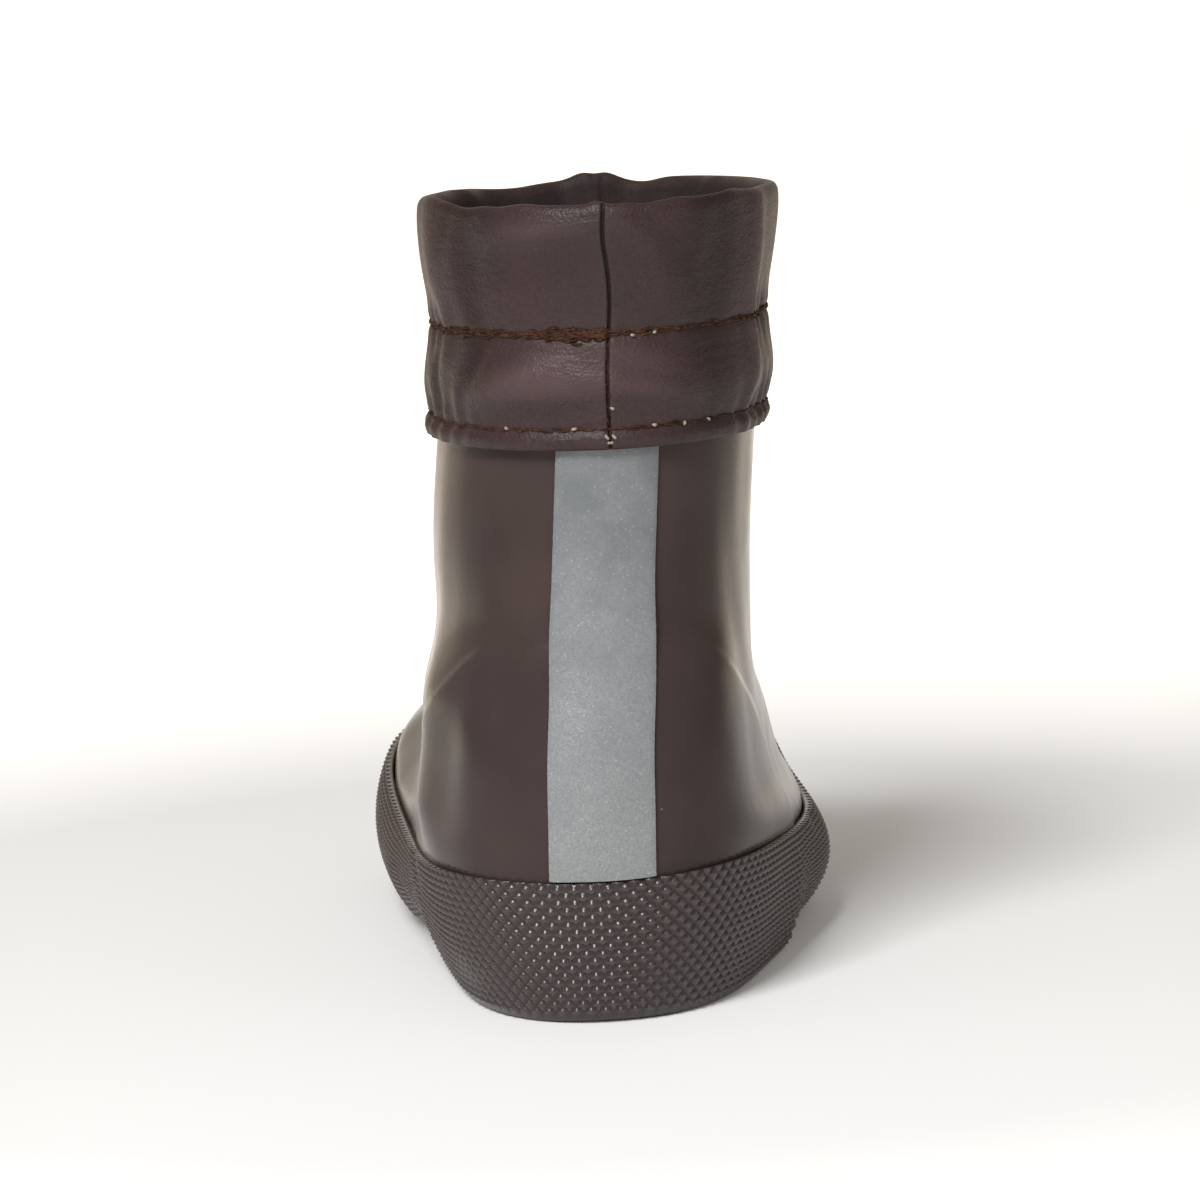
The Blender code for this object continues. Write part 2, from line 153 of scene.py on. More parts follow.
def spline_weights(knots, at):
    """Weights of a natural cubic spline: its values at the places at are weights @ values at the knots.

    Between two knots the curve is their straight line, plus cubes that carry the bends worked out
    from equal slopes on both sides of each knot.
    """
    knots = np.asarray(knots, float)
    at = np.ravel(np.asarray(at, float))
    count = len(knots)
    gaps = np.diff(knots)
    stiffness = np.eye(count)
    load = np.zeros((count, count))
    for i in range(1, count - 1):
        stiffness[i, i - 1 : i + 2] = gaps[i - 1], 2 * (gaps[i - 1] + gaps[i]), gaps[i]
        load[i, i - 1 : i + 2] = 6 / gaps[i - 1], -6 / gaps[i - 1] - 6 / gaps[i], 6 / gaps[i]
    bends = np.linalg.solve(stiffness, load)
    unit = np.eye(count)
    span = np.clip(np.searchsorted(knots, at, side="right") - 1, 0, count - 2)
    wide = gaps[span][:, None]
    after = (at - knots[span])[:, None]
    before = wide - after
    cubes = (bends[span] * before**3 + bends[span + 1] * after**3) / (6 * wide)
    low = (unit[span] / wide - bends[span] * wide / 6) * before
    high = (unit[span + 1] / wide - bends[span + 1] * wide / 6) * after
    return cubes + low + high


def skin(turns, rises):
    """Outside of the last at angles turns (0 at the back, a quarter turn on the outer side) and rises.

    Each section is a ring: y goes from back to front as (1 - cos turn) / 2, and x is sin turn times a
    half width splined through its stations. The rings are splined upwards at the places rises.
    """
    turns, rises = np.broadcast_arrays(np.asarray(turns, float), np.asarray(rises, float))
    turn = turns.reshape(-1, 1)
    along = (1 - np.cos(turn)) / 2
    side = np.sin(turn)
    length = LAST.front_y - LAST.back_y
    heel_half = np.sqrt(LAST.heel_radius * length / 2)
    toe_half = np.sqrt(LAST.toe_radius * length / 2)
    chord = 2 * np.sqrt(STATIONS[1:-1] * (1 - STATIONS[1:-1]))[:, None]
    outer = np.stack([LAST.lat_rear, LAST.lat_mid, LAST.lat_fore]) / chord
    inner = np.stack([LAST.med_rear, LAST.med_mid, LAST.med_fore]) / chord
    across = spline_weights(STATIONS, along)
    outer = across @ np.vstack([heel_half, outer, toe_half])
    inner = across @ np.vstack([heel_half, inner, toe_half])
    x = LAST.lean_x + side * np.where(side >= 0, outer, inner)
    y = LAST.back_y + length * along
    z = LAST.back_z + (LAST.front_z - LAST.back_z) * along
    z = z + LAST.mid_lift * (4 * along * (1 - along)) ** 2
    upward = spline_weights(np.arange(len(SECTIONS)), rises)
    points = np.stack([(upward * ring).sum(axis=1) for ring in (x, y, z)], axis=-1) * MM
    points -= np.array([BOX_MIDDLE_X, SOLE_LENGTH / 2, 0])
    return points.reshape(*turns.shape, 3)


def skin_frame(turns, rises):
    """Steps of the skin per unit of turn and of rise, and its normal, from small differences."""
    step = 1e-3
    around = (skin(turns + step, rises) - skin(turns - step, rises)) / (2 * step)
    upward = (skin(turns, rises + step) - skin(turns, rises - step)) / (2 * step)
    normal = np.cross(around, upward)
    return around, upward, normal / np.linalg.norm(normal, axis=-1, keepdims=True)


def skin_out(turns, rises, out):
    """Skin moved out along its normal."""
    turns, rises, out = np.broadcast_arrays(*(np.asarray(v, float) for v in (turns, rises, out)))
    return skin(turns, rises) + out[..., None] * skin_frame(turns, rises)[2]


def smooth_step(low, high, value):
    """0 below low, 1 above high, with a smooth rise between."""
    share = np.clip((value - low) / (high - low), 0, 1)
    return share * share * (3 - 2 * share)


def hump(value, half_width):
    """Bell of height 1 round zero."""
    return np.exp(-((value / half_width) ** 2))


def signed_turn(turns):
    """Angle round the boot from minus to plus half a turn, with 0 at the back."""
    return np.remainder(turns + math.pi, 2 * math.pi) - math.pi


def wave_sum(turns, rises, waves):
    """Sum of sine waves round the boot, each shifted by its phase and by its drift with the rise."""
    return sum(w.height * np.sin(w.number * turns + w.drift * rises + w.phase) for w in waves)


def crease_depth(points, creases):
    """Sum of the creases at points of the wall: each is a bell, long one way and narrow the other.

    Both ways are measured in the tangent plane at the crease's middle, turned by its tilt.
    """
    total = np.zeros(points.shape[:-1])
    for crease in creases:
        turn, rise = np.array(math.radians(crease.turn)), np.array(float(crease.rise))
        around, _, normal = skin_frame(turn, rise)
        level = around / np.linalg.norm(around)
        up = np.cross(normal, level)
        tilt = math.radians(crease.tilt)
        away = points - skin(turn, rise)
        long_way = away @ (level * math.cos(tilt) + up * math.sin(tilt))
        short_way = away @ (up * math.cos(tilt) - level * math.sin(tilt))
        bell = hump(long_way, crease.length * MM) * hump(short_way, crease.width * MM)
        total += crease.depth * MM * bell * hump(away @ normal, CREASE_REACH)
    return total


def counter_depth(turns, rises):
    """How far the heel counter lifts the rubber: a step along its arch and a fine ridge down its sides.

    The arch is splined through its points. A place's distance to it is that to the nearest of many
    points along it, counted as inside where the place lies under the arch.
    """
    count = len(COUNTER_ARCH)
    steps = spline_weights(np.arange(count), np.linspace(0, count - 1, ARCH_STEPS))
    arch_turns = np.radians(steps @ np.array([point.turn for point in COUNTER_ARCH]))
    arch_rises = steps @ np.array([point.rise for point in COUNTER_ARCH])
    arch = skin(arch_turns, arch_rises)
    places = skin(turns, rises)
    squares = (places**2).sum(axis=-1)[..., None] + (arch**2).sum(axis=-1) - 2 * places @ arch.T
    distance = np.sqrt(np.clip(squares.min(axis=-1), 0, None))
    turn = signed_turn(turns)
    under = rises < np.interp(turn, arch_turns, arch_rises, left=0, right=0)
    inside = np.where(under, distance, -distance)
    side = smooth_step(*COUNTER_SIDE_TURNS, np.abs(turn))
    soft = COUNTER_TOP_SOFTNESS + (COUNTER_SIDE_SOFTNESS - COUNTER_TOP_SOFTNESS) * side
    step = COUNTER_STEP * (1 - COUNTER_SIDE_LOSS * side) * smooth_step(-soft, soft, inside)
    return step + COUNTER_RIDGE * side * hump(inside, COUNTER_RIDGE_WIDTH)


def lay_up_waves(turns, rises):
    """Faint unevenness of hand-laid rubber: slow waves round the boot that drift as they go up."""
    return LAY_UP_WAVE * wave_sum(turns, rises, LAY_UP_WAVES)


def upper_relief(turns, rises):
    """All that the rubber's outside stands off the plain last. The creases fade towards the sole."""
    points = skin(turns, rises)
    relief = counter_depth(turns, rises) + lay_up_waves(turns, rises)
    above_sole = smooth_step(BITE, BITE + CREASE_FREE_RISE, rises)
    return relief + above_sole * crease_depth(points, UPPER_CREASES)


def grid_corners(rows, columns, round_columns=False, round_rows=False):
    """Row and column numbers of the four corners of each face of a grid, before any wrap."""
    row = np.arange(rows if round_rows else rows - 1)
    column = np.arange(columns if round_columns else columns - 1)
    row, column = (v.ravel()[:, None] for v in np.meshgrid(row, column, indexing="ij"))
    return row + np.array([0, 0, 1, 1]), column + np.array([0, 1, 1, 0])


def grid_faces(rows, columns, round_columns=False, round_rows=False):
    """Point numbers of those corners, where the last column or row may join the first."""
    row, column = grid_corners(rows, columns, round_columns, round_rows)
    return (row % rows) * columns + column % columns


def mesh_piece(name, points, faces, materials, face_materials=None):
    """Smooth object at the origin from an array of points and rows of corner numbers."""
    mesh = bpy.data.meshes.new(name)
    mesh.from_pydata(np.reshape(points, (-1, 3)), [], faces)
    for material in materials:
        mesh.materials.append(material)
    if face_materials is not None:
        mesh.polygons.foreach_set("material_index", np.asarray(face_materials, np.int32))
    mesh.shade_smooth()
    mesh.update()
    made = bpy.data.objects.new(name, mesh)
    bpy.context.scene.collection.objects.link(made)
    return made


def add_uv(piece, across, up):
    """UV map in millimetres from arrays with one value for each face corner."""
    layer = piece.data.uv_layers.new(name="surface_mm")
    layer.data.foreach_set("uv", np.stack([across, up], axis=-1).astype(np.float32).ravel())


def add_attribute(piece, name, values):
    """One number for each point of the mesh, under a name that materials read."""
    layer = piece.data.attributes.new(name, "FLOAT", "POINT")
    layer.data.foreach_set("value", np.asarray(values, np.float32).ravel())


def set_inputs(tree, node, inputs):
    """Sets a node's inputs by name or number: a value as it is, another node's socket as a link."""
    for name, value in inputs.items():
        if isinstance(value, bpy.types.NodeSocket):
            tree.links.new(value, node.inputs[name])
        else:
            node.inputs[name].default_value = value


def add_node(tree, kind, inputs=None, **settings):
    """New shader node with its settings and inputs."""
    made = tree.nodes.new(kind)
    for name, value in settings.items():
        setattr(made, name, value)
    set_inputs(tree, made, inputs or {})
    return made


def new_material(name):
    """Empty node material: its tree, its shader and the Object coordinates to draw patterns on."""
    made = bpy.data.materials.new(name)
    made.use_nodes = True
    tree = made.node_tree
    place = add_node(tree, "ShaderNodeTexCoord").outputs["Object"]
    return made, tree, tree.nodes["Principled BSDF"], place


def mixed(tree, share, low, high):
    """Colour between low and high by a share from 0 to 1."""
    return add_node(tree, "ShaderNodeMix", {0: share, 6: low, 7: high}, data_type="RGBA").outputs[2]


def combined(tree, operation, first, second):
    """One value worked out of two, such as their product."""
    return add_node(tree, "ShaderNodeMath", {0: first, 1: second}, operation=operation).outputs[0]


def attribute(tree, name):
    """Number that the mesh holds at its points under a name."""
    return add_node(tree, "ShaderNodeAttribute", attribute_name=name).outputs["Fac"]


def ranged(tree, value, low, high, to_low, to_high):
    """Value carried from the range low..high to to_low..to_high, held at the ends."""
    limits = {"Value": value, "From Min": low, "From Max": high, "To Min": to_low, "To Max": to_high}
    return add_node(tree, "ShaderNodeMapRange", limits).outputs["Result"]


def noise(tree, place, scale, detail=3.0, roughness=0.55):
    """Cloud pattern, scale in repeats to a metre."""
    sizes = {"Vector": place, "Scale": scale, "Detail": detail, "Roughness": roughness}
    return add_node(tree, "ShaderNodeTexNoise", sizes).outputs["Fac"]


def bumped(tree, height, depth, under=None):
    """Normal of a height pattern of that depth in metres, over another bump if there is one."""
    inputs = {"Height": height, "Distance": depth, "Strength": 1.0}
    if under is not None:
        inputs["Normal"] = under
    return add_node(tree, "ShaderNodeBump", inputs).outputs["Normal"]


def dust_specks(tree, place, spacing, size, share):
    """Scattered specks: small dots in the middle of a few cells of a cell pattern."""
    cells = add_node(tree, "ShaderNodeTexVoronoi", {"Vector": place, "Scale": 1 / spacing})
    near = ranged(tree, cells.outputs["Distance"], 0.6 * size, size, 1.0, 0.0)
    chosen = add_node(tree, "ShaderNodeSeparateColor", {"Color": cells.outputs["Color"]})
    few = ranged(tree, chosen.outputs["Red"], share, share + 0.002, 1.0, 0.0)
    return combined(tree, "MULTIPLY", near, few)


def upper_rubber():
    """Satin lacquered rubber: two close browns in clouds, uneven gloss, fine skin and a few specks."""
    made, tree, shader, place = new_material("upper_rubber_look")
    clouds = ranged(tree, noise(tree, place, 55, 4), 0.35, 0.7, 0.0, 1.0)
    colour = mixed(tree, clouds, UPPER_SHADE, UPPER_COLOUR)
    specks = dust_specks(tree, place, 9 * MM, 0.016, 0.16)
    colour = mixed(tree, specks, colour, UPPER_SPECK)
    gloss = ranged(tree, noise(tree, place, 140, 5, 0.65), 0.3, 0.75, 0.17, 0.25)
    orange_peel = bumped(tree, noise(tree, place, 420, 2), 0.018 * MM)
    fine_skin = bumped(tree, noise(tree, place, 2600, 3), 0.012 * MM, orange_peel)
    sheen = {"Sheen Weight": 0.08, "Sheen Roughness": 0.2, "Sheen Tint": UPPER_SHEEN}
    set_inputs(tree, shader, {"Base Color": colour, "Roughness": gloss, "Normal": fine_skin})
    set_inputs(tree, shader, {"Specular IOR Level": 0.10, **sheen})
    return made


def knit_lining():
    """Thin knit: rows of small loops, raised where a stitch crosses, on the wall's own UV map."""
    made, tree, shader, place = new_material("knit_lining")
    cloth = add_node(tree, "ShaderNodeTexCoord").outputs["UV"]
    wave = {"Vector": cloth, "Scale": 0.55, "Distortion": 1.2, "Detail": 1.0, "Detail Scale": 1.5}
    wales = add_node(tree, "ShaderNodeTexWave", wave, bands_direction="X").outputs["Fac"]
    courses = add_node(tree, "ShaderNodeTexWave", wave, bands_direction="Y").outputs["Fac"]
    loops = combined(tree, "MULTIPLY", wales, courses)
    fuzz = noise(tree, place, 1800, 4)
    colour = mixed(tree, ranged(tree, loops, 0.05, 0.7, 0.0, 1.0), LINING_SHADE, LINING_COLOUR)
    knit = bumped(tree, fuzz, 0.1 * MM, bumped(tree, loops, 0.25 * MM))
    set_inputs(tree, shader, {"Base Color": colour, "Normal": knit})
    set_inputs(tree, shader, {"Roughness": 0.9, "Specular IOR Level": 0.25})
    return made


def make_upper():
    """Rings round the boot, up the outside with its relief and down the inside of the wall."""
    turns = np.arange(UPPER_COLUMNS) * 2 * math.pi / UPPER_COLUMNS
    hidden = np.linspace(0, BITE, HIDDEN_ROWS)[:-1]
    over_counter = np.linspace(BITE, COUNTER_END, COUNTER_ROWS)[:-1]
    up_shaft = np.linspace(COUNTER_END, SHAFT_TOP, SHAFT_ROWS)
    outside = np.concatenate([hidden, over_counter, up_shaft])
    inside = np.linspace(SHAFT_TOP, 0, LINING_ROWS)
    grid_turns, grid_rises = np.meshgrid(turns, outside)
    outer = skin_out(grid_turns, grid_rises, upper_relief(grid_turns, grid_rises))
    inner = skin_out(*np.meshgrid(turns, inside), -UPPER_WALL)
    points = np.concatenate([outer, inner])
    rows = len(points)
    row, column = grid_corners(rows, UPPER_COLUMNS, True, True)
    faces = (row % rows) * UPPER_COLUMNS + column % UPPER_COLUMNS
    lined = (row.min(axis=1) >= len(outside)) & (row.max(axis=1) < rows)
    upper = mesh_piece("upper_rubber", points, faces, [upper_rubber(), knit_lining()], lined)
    height = points[row % rows, column % UPPER_COLUMNS, 2] / MM
    add_uv(upper, column * (LINING_GIRTH_MM / UPPER_COLUMNS), height)
    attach(upper, "root")
    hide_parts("upper")


make_upper()

# Outsole
# A cup of brown moulded rubber that the upper stands in, cured onto it with a wrap-up side.
# The side is knurled with staggered pyramids over a plain bottom lip, and its strip is joined at two
# places. The tread has plain grooves across the heel and the forefoot.
FIT_GAP = 0.3 * MM
SIDEWALL_LEDGE = 1.5 * MM
HEEL_BULGE = 0.6 * MM
BALL_BULGE = 3.5 * MM
LIP_HEIGHT = 1.6 * MM
LIP_ROUNDING = 0.9 * MM
INSETS = np.array([3.7, 3.7, 1.6, 0.8, 4.0]) * MM
INSET_STATIONS = [0, 0.2, 0.42, 0.68, 1]
MEDIAL_TUCK = 2.6 * MM
HEEL_REST = (9 * MM, 50 * MM)
BALL_REST = (92 * MM, 130 * MM)
HEEL_BREAST = 9 * MM
ARCH_RISE = 3.6 * MM
TOE_SPRING = 7.0 * MM
HEEL_BEVEL = 1.0 * MM
GROOVE_WIDTH = 3.2 * MM
GROOVE_DEPTH = 2.6 * MM
GROOVE_PITCH = 8.0 * MM
GROOVE_SOFTNESS = 0.3 * MM
GROOVE_END_SOFTNESS = 0.8 * MM
TREAD_RIM = 5.0 * MM
HEEL_GROOVES = 5
FOREFOOT_GROOVES = 8
PYRAMID_PITCH = 2.6 * MM
PYRAMID_ROWS = 18
PYRAMID_LOW = -0.50 * MM
PYRAMID_HIGH = 0.34 * MM
PYRAMID_FLAT = 0.93
WORN_TURN, WORN_TURN_WIDTH = -38, 9
WORN_ROW, WORN_ROW_WIDTH = 3.5, 3.0
WORN_SHARE, WORN_LEVEL = 0.45, 0.3
JOINT_MM_PER_DEGREE = 0.5
JOINT_ROWS = (9, 17)
LIP_SETBACK = 0.25 * MM
TOP_EDGE_SETBACK = 0.7 * MM
CUP_RISES = (1.0, 0.8, 0.5, 0.2, 0.0)
CUP_FLOOR_COLUMNS = 4
CELL_STEPS = 3
TREAD_COLUMNS = 42
SOLE_COLOUR = (0.066, 0.047, 0.044, 1)
# Painted shade for the valleys between the pyramids, the bottom lip and the cup.
SOLE_VALLEY_SHADE = (0.026, 0.019, 0.018, 1)
SOLE_CLOUD = (0.055, 0.043, 0.039, 1)
SOLE_DUST = (0.22, 0.20, 0.18, 1)
# Shares for the painted shade, on the knurl's scale: the lip and the cup take nearly all of the valley
# shade, the tread none.
LIP_LIGHT, CUP_LIGHT, TREAD_LIGHT = 0.12, 0.05, 0.6
StripJoint = namedtuple("StripJoint", "name turn width depth")
STRIP_JOINTS = [
    StripJoint("inner_joint", -62, 1.6, -0.55),
    StripJoint("outer_joint", 78, 1.4, -0.45),
]


def tread_height(y):
    """Height of the underside over the floor: flat at heel and ball, raised at arch and toe."""
    arch_middle = (HEEL_REST[1] + BALL_REST[0]) / 2
    arch = smooth_step(HEEL_REST[1], HEEL_REST[1] + HEEL_BREAST, y)
    arch = arch * (1 - smooth_step(arch_middle, BALL_REST[0], y))
    spring = np.clip((y - BALL_REST[1]) / (SOLE_LENGTH - BALL_REST[1]), 0, 1) ** 2
    bevel = np.clip((HEEL_REST[0] - y) / HEEL_REST[0], 0, 1) ** 2
    return ARCH_RISE * arch + TOE_SPRING * spring + HEEL_BEVEL * bevel


def sole_side(turns, heights, relief=0.0):
    """Side of the sole at shares of its height, with a relief outwards.

    The upper's bite line is moved out level by a ledge, plus a bulge that is fullest half way up, less
    an inset that fades from the ground to the top. Heights run from the tread to the bite line.
    """
    turns, heights, relief = np.broadcast_arrays(turns, heights, relief)
    top = skin(turns, BITE)
    run = skin_frame(turns, np.full(turns.shape, float(BITE)))[0][..., :2]
    level = np.stack([run[..., 1], -run[..., 0]], axis=-1)
    level /= np.linalg.norm(level, axis=-1, keepdims=True)
    share = (top[..., 1] + SOLE_LENGTH / 2) / SOLE_LENGTH
    inset = (spline_weights(INSET_STATIONS, share) @ INSETS).reshape(share.shape)
    inset = inset + MEDIAL_TUCK * np.clip(-np.sin(turns), 0, 1) ** 2
    foot_y = top[..., 1] + level[..., 1] * (SIDEWALL_LEDGE - inset)
    ground = tread_height(foot_y + SOLE_LENGTH / 2)
    bulge = HEEL_BULGE + (BALL_BULGE - HEEL_BULGE) * smooth_step(0.2, 0.5, share)
    out = SIDEWALL_LEDGE + bulge * 4 * heights * (1 - heights) - inset * (1 - heights) ** 1.1
    place = top[..., :2] + level * (out + relief)[..., None]
    height = ground + (top[..., 2] - ground) * heights
    return np.concatenate([place, height[..., None]], axis=-1)


def turns_by_length(count):
    """Angles that share the sole's outline into equal lengths, and the length of that outline."""
    scan = np.linspace(0, 2 * math.pi, 4001)
    steps = np.linalg.norm(np.diff(sole_side(scan, 0.5), axis=0), axis=1)
    length = np.concatenate([[0], np.cumsum(steps)])
    return np.interp(np.arange(count) / count * length[-1], length, scan), length[-1]


def pyramid_height(across, up):
    """Height from 0 to 1 of staggered pyramids, at places counted in half pitches across and up.

    On the two diagonals the peaks lie at whole numbers, so the height is the lower of two triangle
    waves, worn a little at the peak.
    """
    first, second = (across + up) / 2, (across - up) / 2
    first, second = (1 - 2 * np.abs(v - np.round(v)) for v in (first, second))
    return np.clip(np.minimum(first, second), 0, PYRAMID_FLAT) / PYRAMID_FLAT


def sole_rubber():
    """Moulded rubber: painted shade in the valleys between pyramids, on the bottom lip and in the cup,
    with greyer clouds and specks of dust.
    """
    made, tree, shader, place = new_material("sole_rubber_look")
    relief = attribute(tree, "relief")
    clouds = noise(tree, place, 90, 4)
    # Painted shade in the valleys, on the lip and in the cup, by the relief number.
    colour = mixed(tree, ranged(tree, relief, 0.05, 0.55, 0.0, 1.0), SOLE_VALLEY_SHADE, SOLE_COLOUR)
    colour = mixed(tree, ranged(tree, clouds, 0.45, 0.8, 0.0, 0.35), colour, SOLE_CLOUD)
    dust = dust_specks(tree, place, 6 * MM, 0.03, 0.12)
    colour = mixed(tree, dust, colour, SOLE_DUST)
    gloss = ranged(tree, noise(tree, place, 260, 4, 0.6), 0.3, 0.75, 0.22, 0.34)
    skin_bump = bumped(tree, noise(tree, place, 1500, 3), 0.03 * MM)
    set_inputs(tree, shader, {"Base Color": colour, "Roughness": gloss, "Normal": skin_bump})
    set_inputs(tree, shader, {"Specular IOR Level": 0.55})
    return made


def across_ring(ring, columns):
    """Grid that closes a ring: each row is a straight line from a point to its partner opposite."""
    half = len(ring) // 2
    partner = (-np.arange(half + 1)) % len(ring)
    share = np.linspace(0, 1, columns)[None, :, None]
    return ring[partner][:, None, :] * (1 - share) + ring[: half + 1][:, None, :] * share


def tread_grid(rim):
    """Grid of the underside within the rim ring, with the grooves cut up into it.

    A groove is a flat-bottomed trough across the sole that ends short of the rim.
    """
    points = across_ring(rim, TREAD_COLUMNS)
    y = points[..., 1] + SOLE_LENGTH / 2
    points[..., 2] = tread_height(y)
    middles = [HEEL_REST[0] + GROOVE_PITCH * (i + 1) for i in range(HEEL_GROOVES)]
    middles += [BALL_REST[0] + GROOVE_WIDTH + GROOVE_PITCH * i for i in range(FOREFOOT_GROOVES)]
    off = np.abs(y[..., None] - np.array(middles)).min(axis=-1)
    share = np.linspace(0, 1, TREAD_COLUMNS)
    width = np.abs(points[:, -1, 0] - points[:, 0, 0])[:, None]
    edge = np.minimum(share, 1 - share) * width
    half = GROOVE_WIDTH / 2
    cut = 1 - smooth_step(half - GROOVE_SOFTNESS, half + GROOVE_SOFTNESS, off)
    cut = cut * smooth_step(TREAD_RIM - GROOVE_END_SOFTNESS, TREAD_RIM + GROOVE_END_SOFTNESS, edge)
    points[..., 2] += GROOVE_DEPTH * cut
    return points


def knurl_faces(rows, columns, below, steps):
    """Faces of the rings: triangles in the knurled rows, cut along the valleys, and squares elsewhere.

    In a cell with a peak at its first corner the valley joins the other two corners, and the next cell
    is its mirror image.
    """
    row, column = (v[:, 0] for v in grid_corners(rows, columns, round_columns=True))
    squares = grid_faces(rows, columns, round_columns=True)
    knurled = (row >= below) & (row < below + steps)
    odd = ((row - below) // CELL_STEPS + column // CELL_STEPS) % 2 == 1
    even_cells, odd_cells = squares[knurled & ~odd], squares[knurled & odd]
    facets = [even_cells[:, [0, 1, 3]], even_cells[:, [1, 2, 3]]]
    facets += [odd_cells[:, [0, 1, 2]], odd_cells[:, [0, 2, 3]]]
    return np.concatenate(facets), squares[~knurled]


def close_seams(piece):
    """Joins points that lie in the same place, so that grids which share an edge are one surface."""
    edited = bmesh.new()
    edited.from_mesh(piece.data)
    bmesh.ops.remove_doubles(edited, verts=edited.verts, dist=0.004 * MM)
    bmesh.ops.dissolve_degenerate(edited, edges=edited.edges, dist=0.001 * MM)
    bmesh.ops.recalc_face_normals(edited, faces=edited.faces)
    edited.to_mesh(piece.data)
    edited.free()


def make_outsole():
    """Knurled side, lip, ledge and cup as rings, then the tread and the cup's floor as two grids."""
    count = round(turns_by_length(8)[1] / PYRAMID_PITCH)
    columns = 2 * count * CELL_STEPS
    turns, _ = turns_by_length(columns)
    foot = LIP_HEIGHT / (SECTIONS[BITE].back_z * MM)
    steps = PYRAMID_ROWS * CELL_STEPS
    heights = np.linspace(foot, 1.0, steps + 1)[:, None]
    across = np.arange(columns)[None, :] / CELL_STEPS
    up = np.arange(steps + 1)[:, None] / CELL_STEPS
    knurl = pyramid_height(across, up)
    degrees = np.degrees(signed_turn(turns))
    worn = hump(degrees - WORN_TURN, WORN_TURN_WIDTH) * hump(up - WORN_ROW, WORN_ROW_WIDTH)
    knurl = knurl * (1 - WORN_SHARE * worn) + WORN_LEVEL * WORN_SHARE * worn
    relief = PYRAMID_LOW + (PYRAMID_HIGH - PYRAMID_LOW) * knurl
    for joint in STRIP_JOINTS:
        near = hump((degrees - joint.turn) * JOINT_MM_PER_DEGREE, joint.width)
        relief = relief + joint.depth * MM * near * smooth_step(*JOINT_ROWS, up)
    side = sole_side(turns, heights, relief)
    under_lip = sole_side(turns, 0.0, -LIP_ROUNDING)
    soft_lip = sole_side(turns, 0.35 * foot, -0.35 * LIP_ROUNDING)
    lip = sole_side(turns, 0.85 * foot, -LIP_SETBACK)
    edge = sole_side(turns, 1.0, -TOP_EDGE_SETBACK)
    cup = np.stack([skin_out(turns, rise, FIT_GAP) for rise in CUP_RISES])
    cup[-1, :, 2] -= FIT_GAP
    below = np.stack([under_lip, soft_lip, lip])
    rings = np.concatenate([below, side, [edge], cup])
    tread = tread_grid(rings[0])
    cup_floor = across_ring(rings[-1], CUP_FLOOR_COLUMNS)
    points = np.concatenate([v.reshape(-1, 3) for v in (rings, tread, cup_floor)])
    facets, plain = knurl_faces(len(rings), columns, len(below), steps)
    tread_faces = grid_faces(*tread.shape[:2])[:, ::-1] + rings.size // 3
    floor_faces = grid_faces(*cup_floor.shape[:2]) + (rings.size + tread.size) // 3
    faces = facets.tolist() + np.concatenate([plain, tread_faces, floor_faces]).tolist()
    sole = mesh_piece("outsole_rubber", points, faces, [sole_rubber()])
    # Numbers for the painted shade: the knurl's height on the side, and set shares on the lip, the cup
    # and the tread.
    light = np.full(len(points), TREAD_LIGHT)
    light[: rings.size // 3] = CUP_LIGHT
    light[: below.size // 3] = LIP_LIGHT
    light[below.size // 3 :][: knurl.size] = knurl.ravel()
    add_attribute(sole, "relief", light)
    close_seams(sole)
    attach(sole, "root")
    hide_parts("outsole")


make_outsole()

# Insole
# A loose sheet of foam with a brushed cloth face, cut to the cup's floor and laid in through the shaft.
INSOLE_THICKNESS = 3.0 * MM
INSOLE_EDGE_GAP = 0.5 * MM
INSOLE_COLUMNS = 240
INSOLE_FACE_COLUMNS = 25
INSOLE_LIFTS = np.array([0.0, 0.15, 0.5, 0.8, 0.95, 1.0])
INSOLE_PULLS = np.array([0.012, 0.0, 0.0, 0.004, 0.012, 0.024])
INSOLE_COLOUR = (0.085, 0.072, 0.066, 1)
INSOLE_SHADE = (0.045, 0.038, 0.035, 1)


def insole_cloth():
    """Brushed cloth: short soft fibres over a faint weave, with no gloss."""
    made, tree, shader, place = new_material("insole_cloth")
    fibres = noise(tree, place, 1400, 6, 0.7)
    clouds = noise(tree, place, 120, 3)
    blend = combined(tree, "MULTIPLY", fibres, clouds)
    colour = mixed(tree, ranged(tree, blend, 0.15, 0.38, 0.0, 1.0), INSOLE_SHADE, INSOLE_COLOUR)
    set_inputs(tree, shader, {"Base Color": colour, "Normal": bumped(tree, fibres, 0.25 * MM)})
    set_inputs(tree, shader, {"Roughness": 0.95, "Specular IOR Level": 0.2})
    return made


def make_insole():
    """Outline of the cup's floor carried up with a rounded edge, then closed on top and underneath."""
    turns = np.arange(INSOLE_COLUMNS) * 2 * math.pi / INSOLE_COLUMNS
    outline = skin_out(turns, 0.0, -UPPER_WALL - INSOLE_EDGE_GAP)
    outline[:, 2] = skin_out(turns, 0.0, FIT_GAP)[:, 2]
    middle = outline.mean(axis=0)
    rings = outline + (middle - outline) * INSOLE_PULLS[:, None, None] * np.array([1, 1, 0])
    rings = rings + INSOLE_LIFTS[:, None, None] * np.array([0, 0, INSOLE_THICKNESS])
    top = across_ring(rings[-1], INSOLE_FACE_COLUMNS)
    under = across_ring(rings[0], INSOLE_FACE_COLUMNS)
    points = np.concatenate([v.reshape(-1, 3) for v in (rings, top, under)])
    faces = [grid_faces(len(rings), INSOLE_COLUMNS, round_columns=True)]
    faces.append(grid_faces(*top.shape[:2]) + rings.size // 3)
    faces.append(grid_faces(*under.shape[:2])[:, ::-1] + (rings.size + top.size) // 3)
    insole = mesh_piece("insole_foam", points, np.concatenate(faces), [insole_cloth()])
    close_seams(insole)
    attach(insole, "root")
    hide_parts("insole")


make_insole()

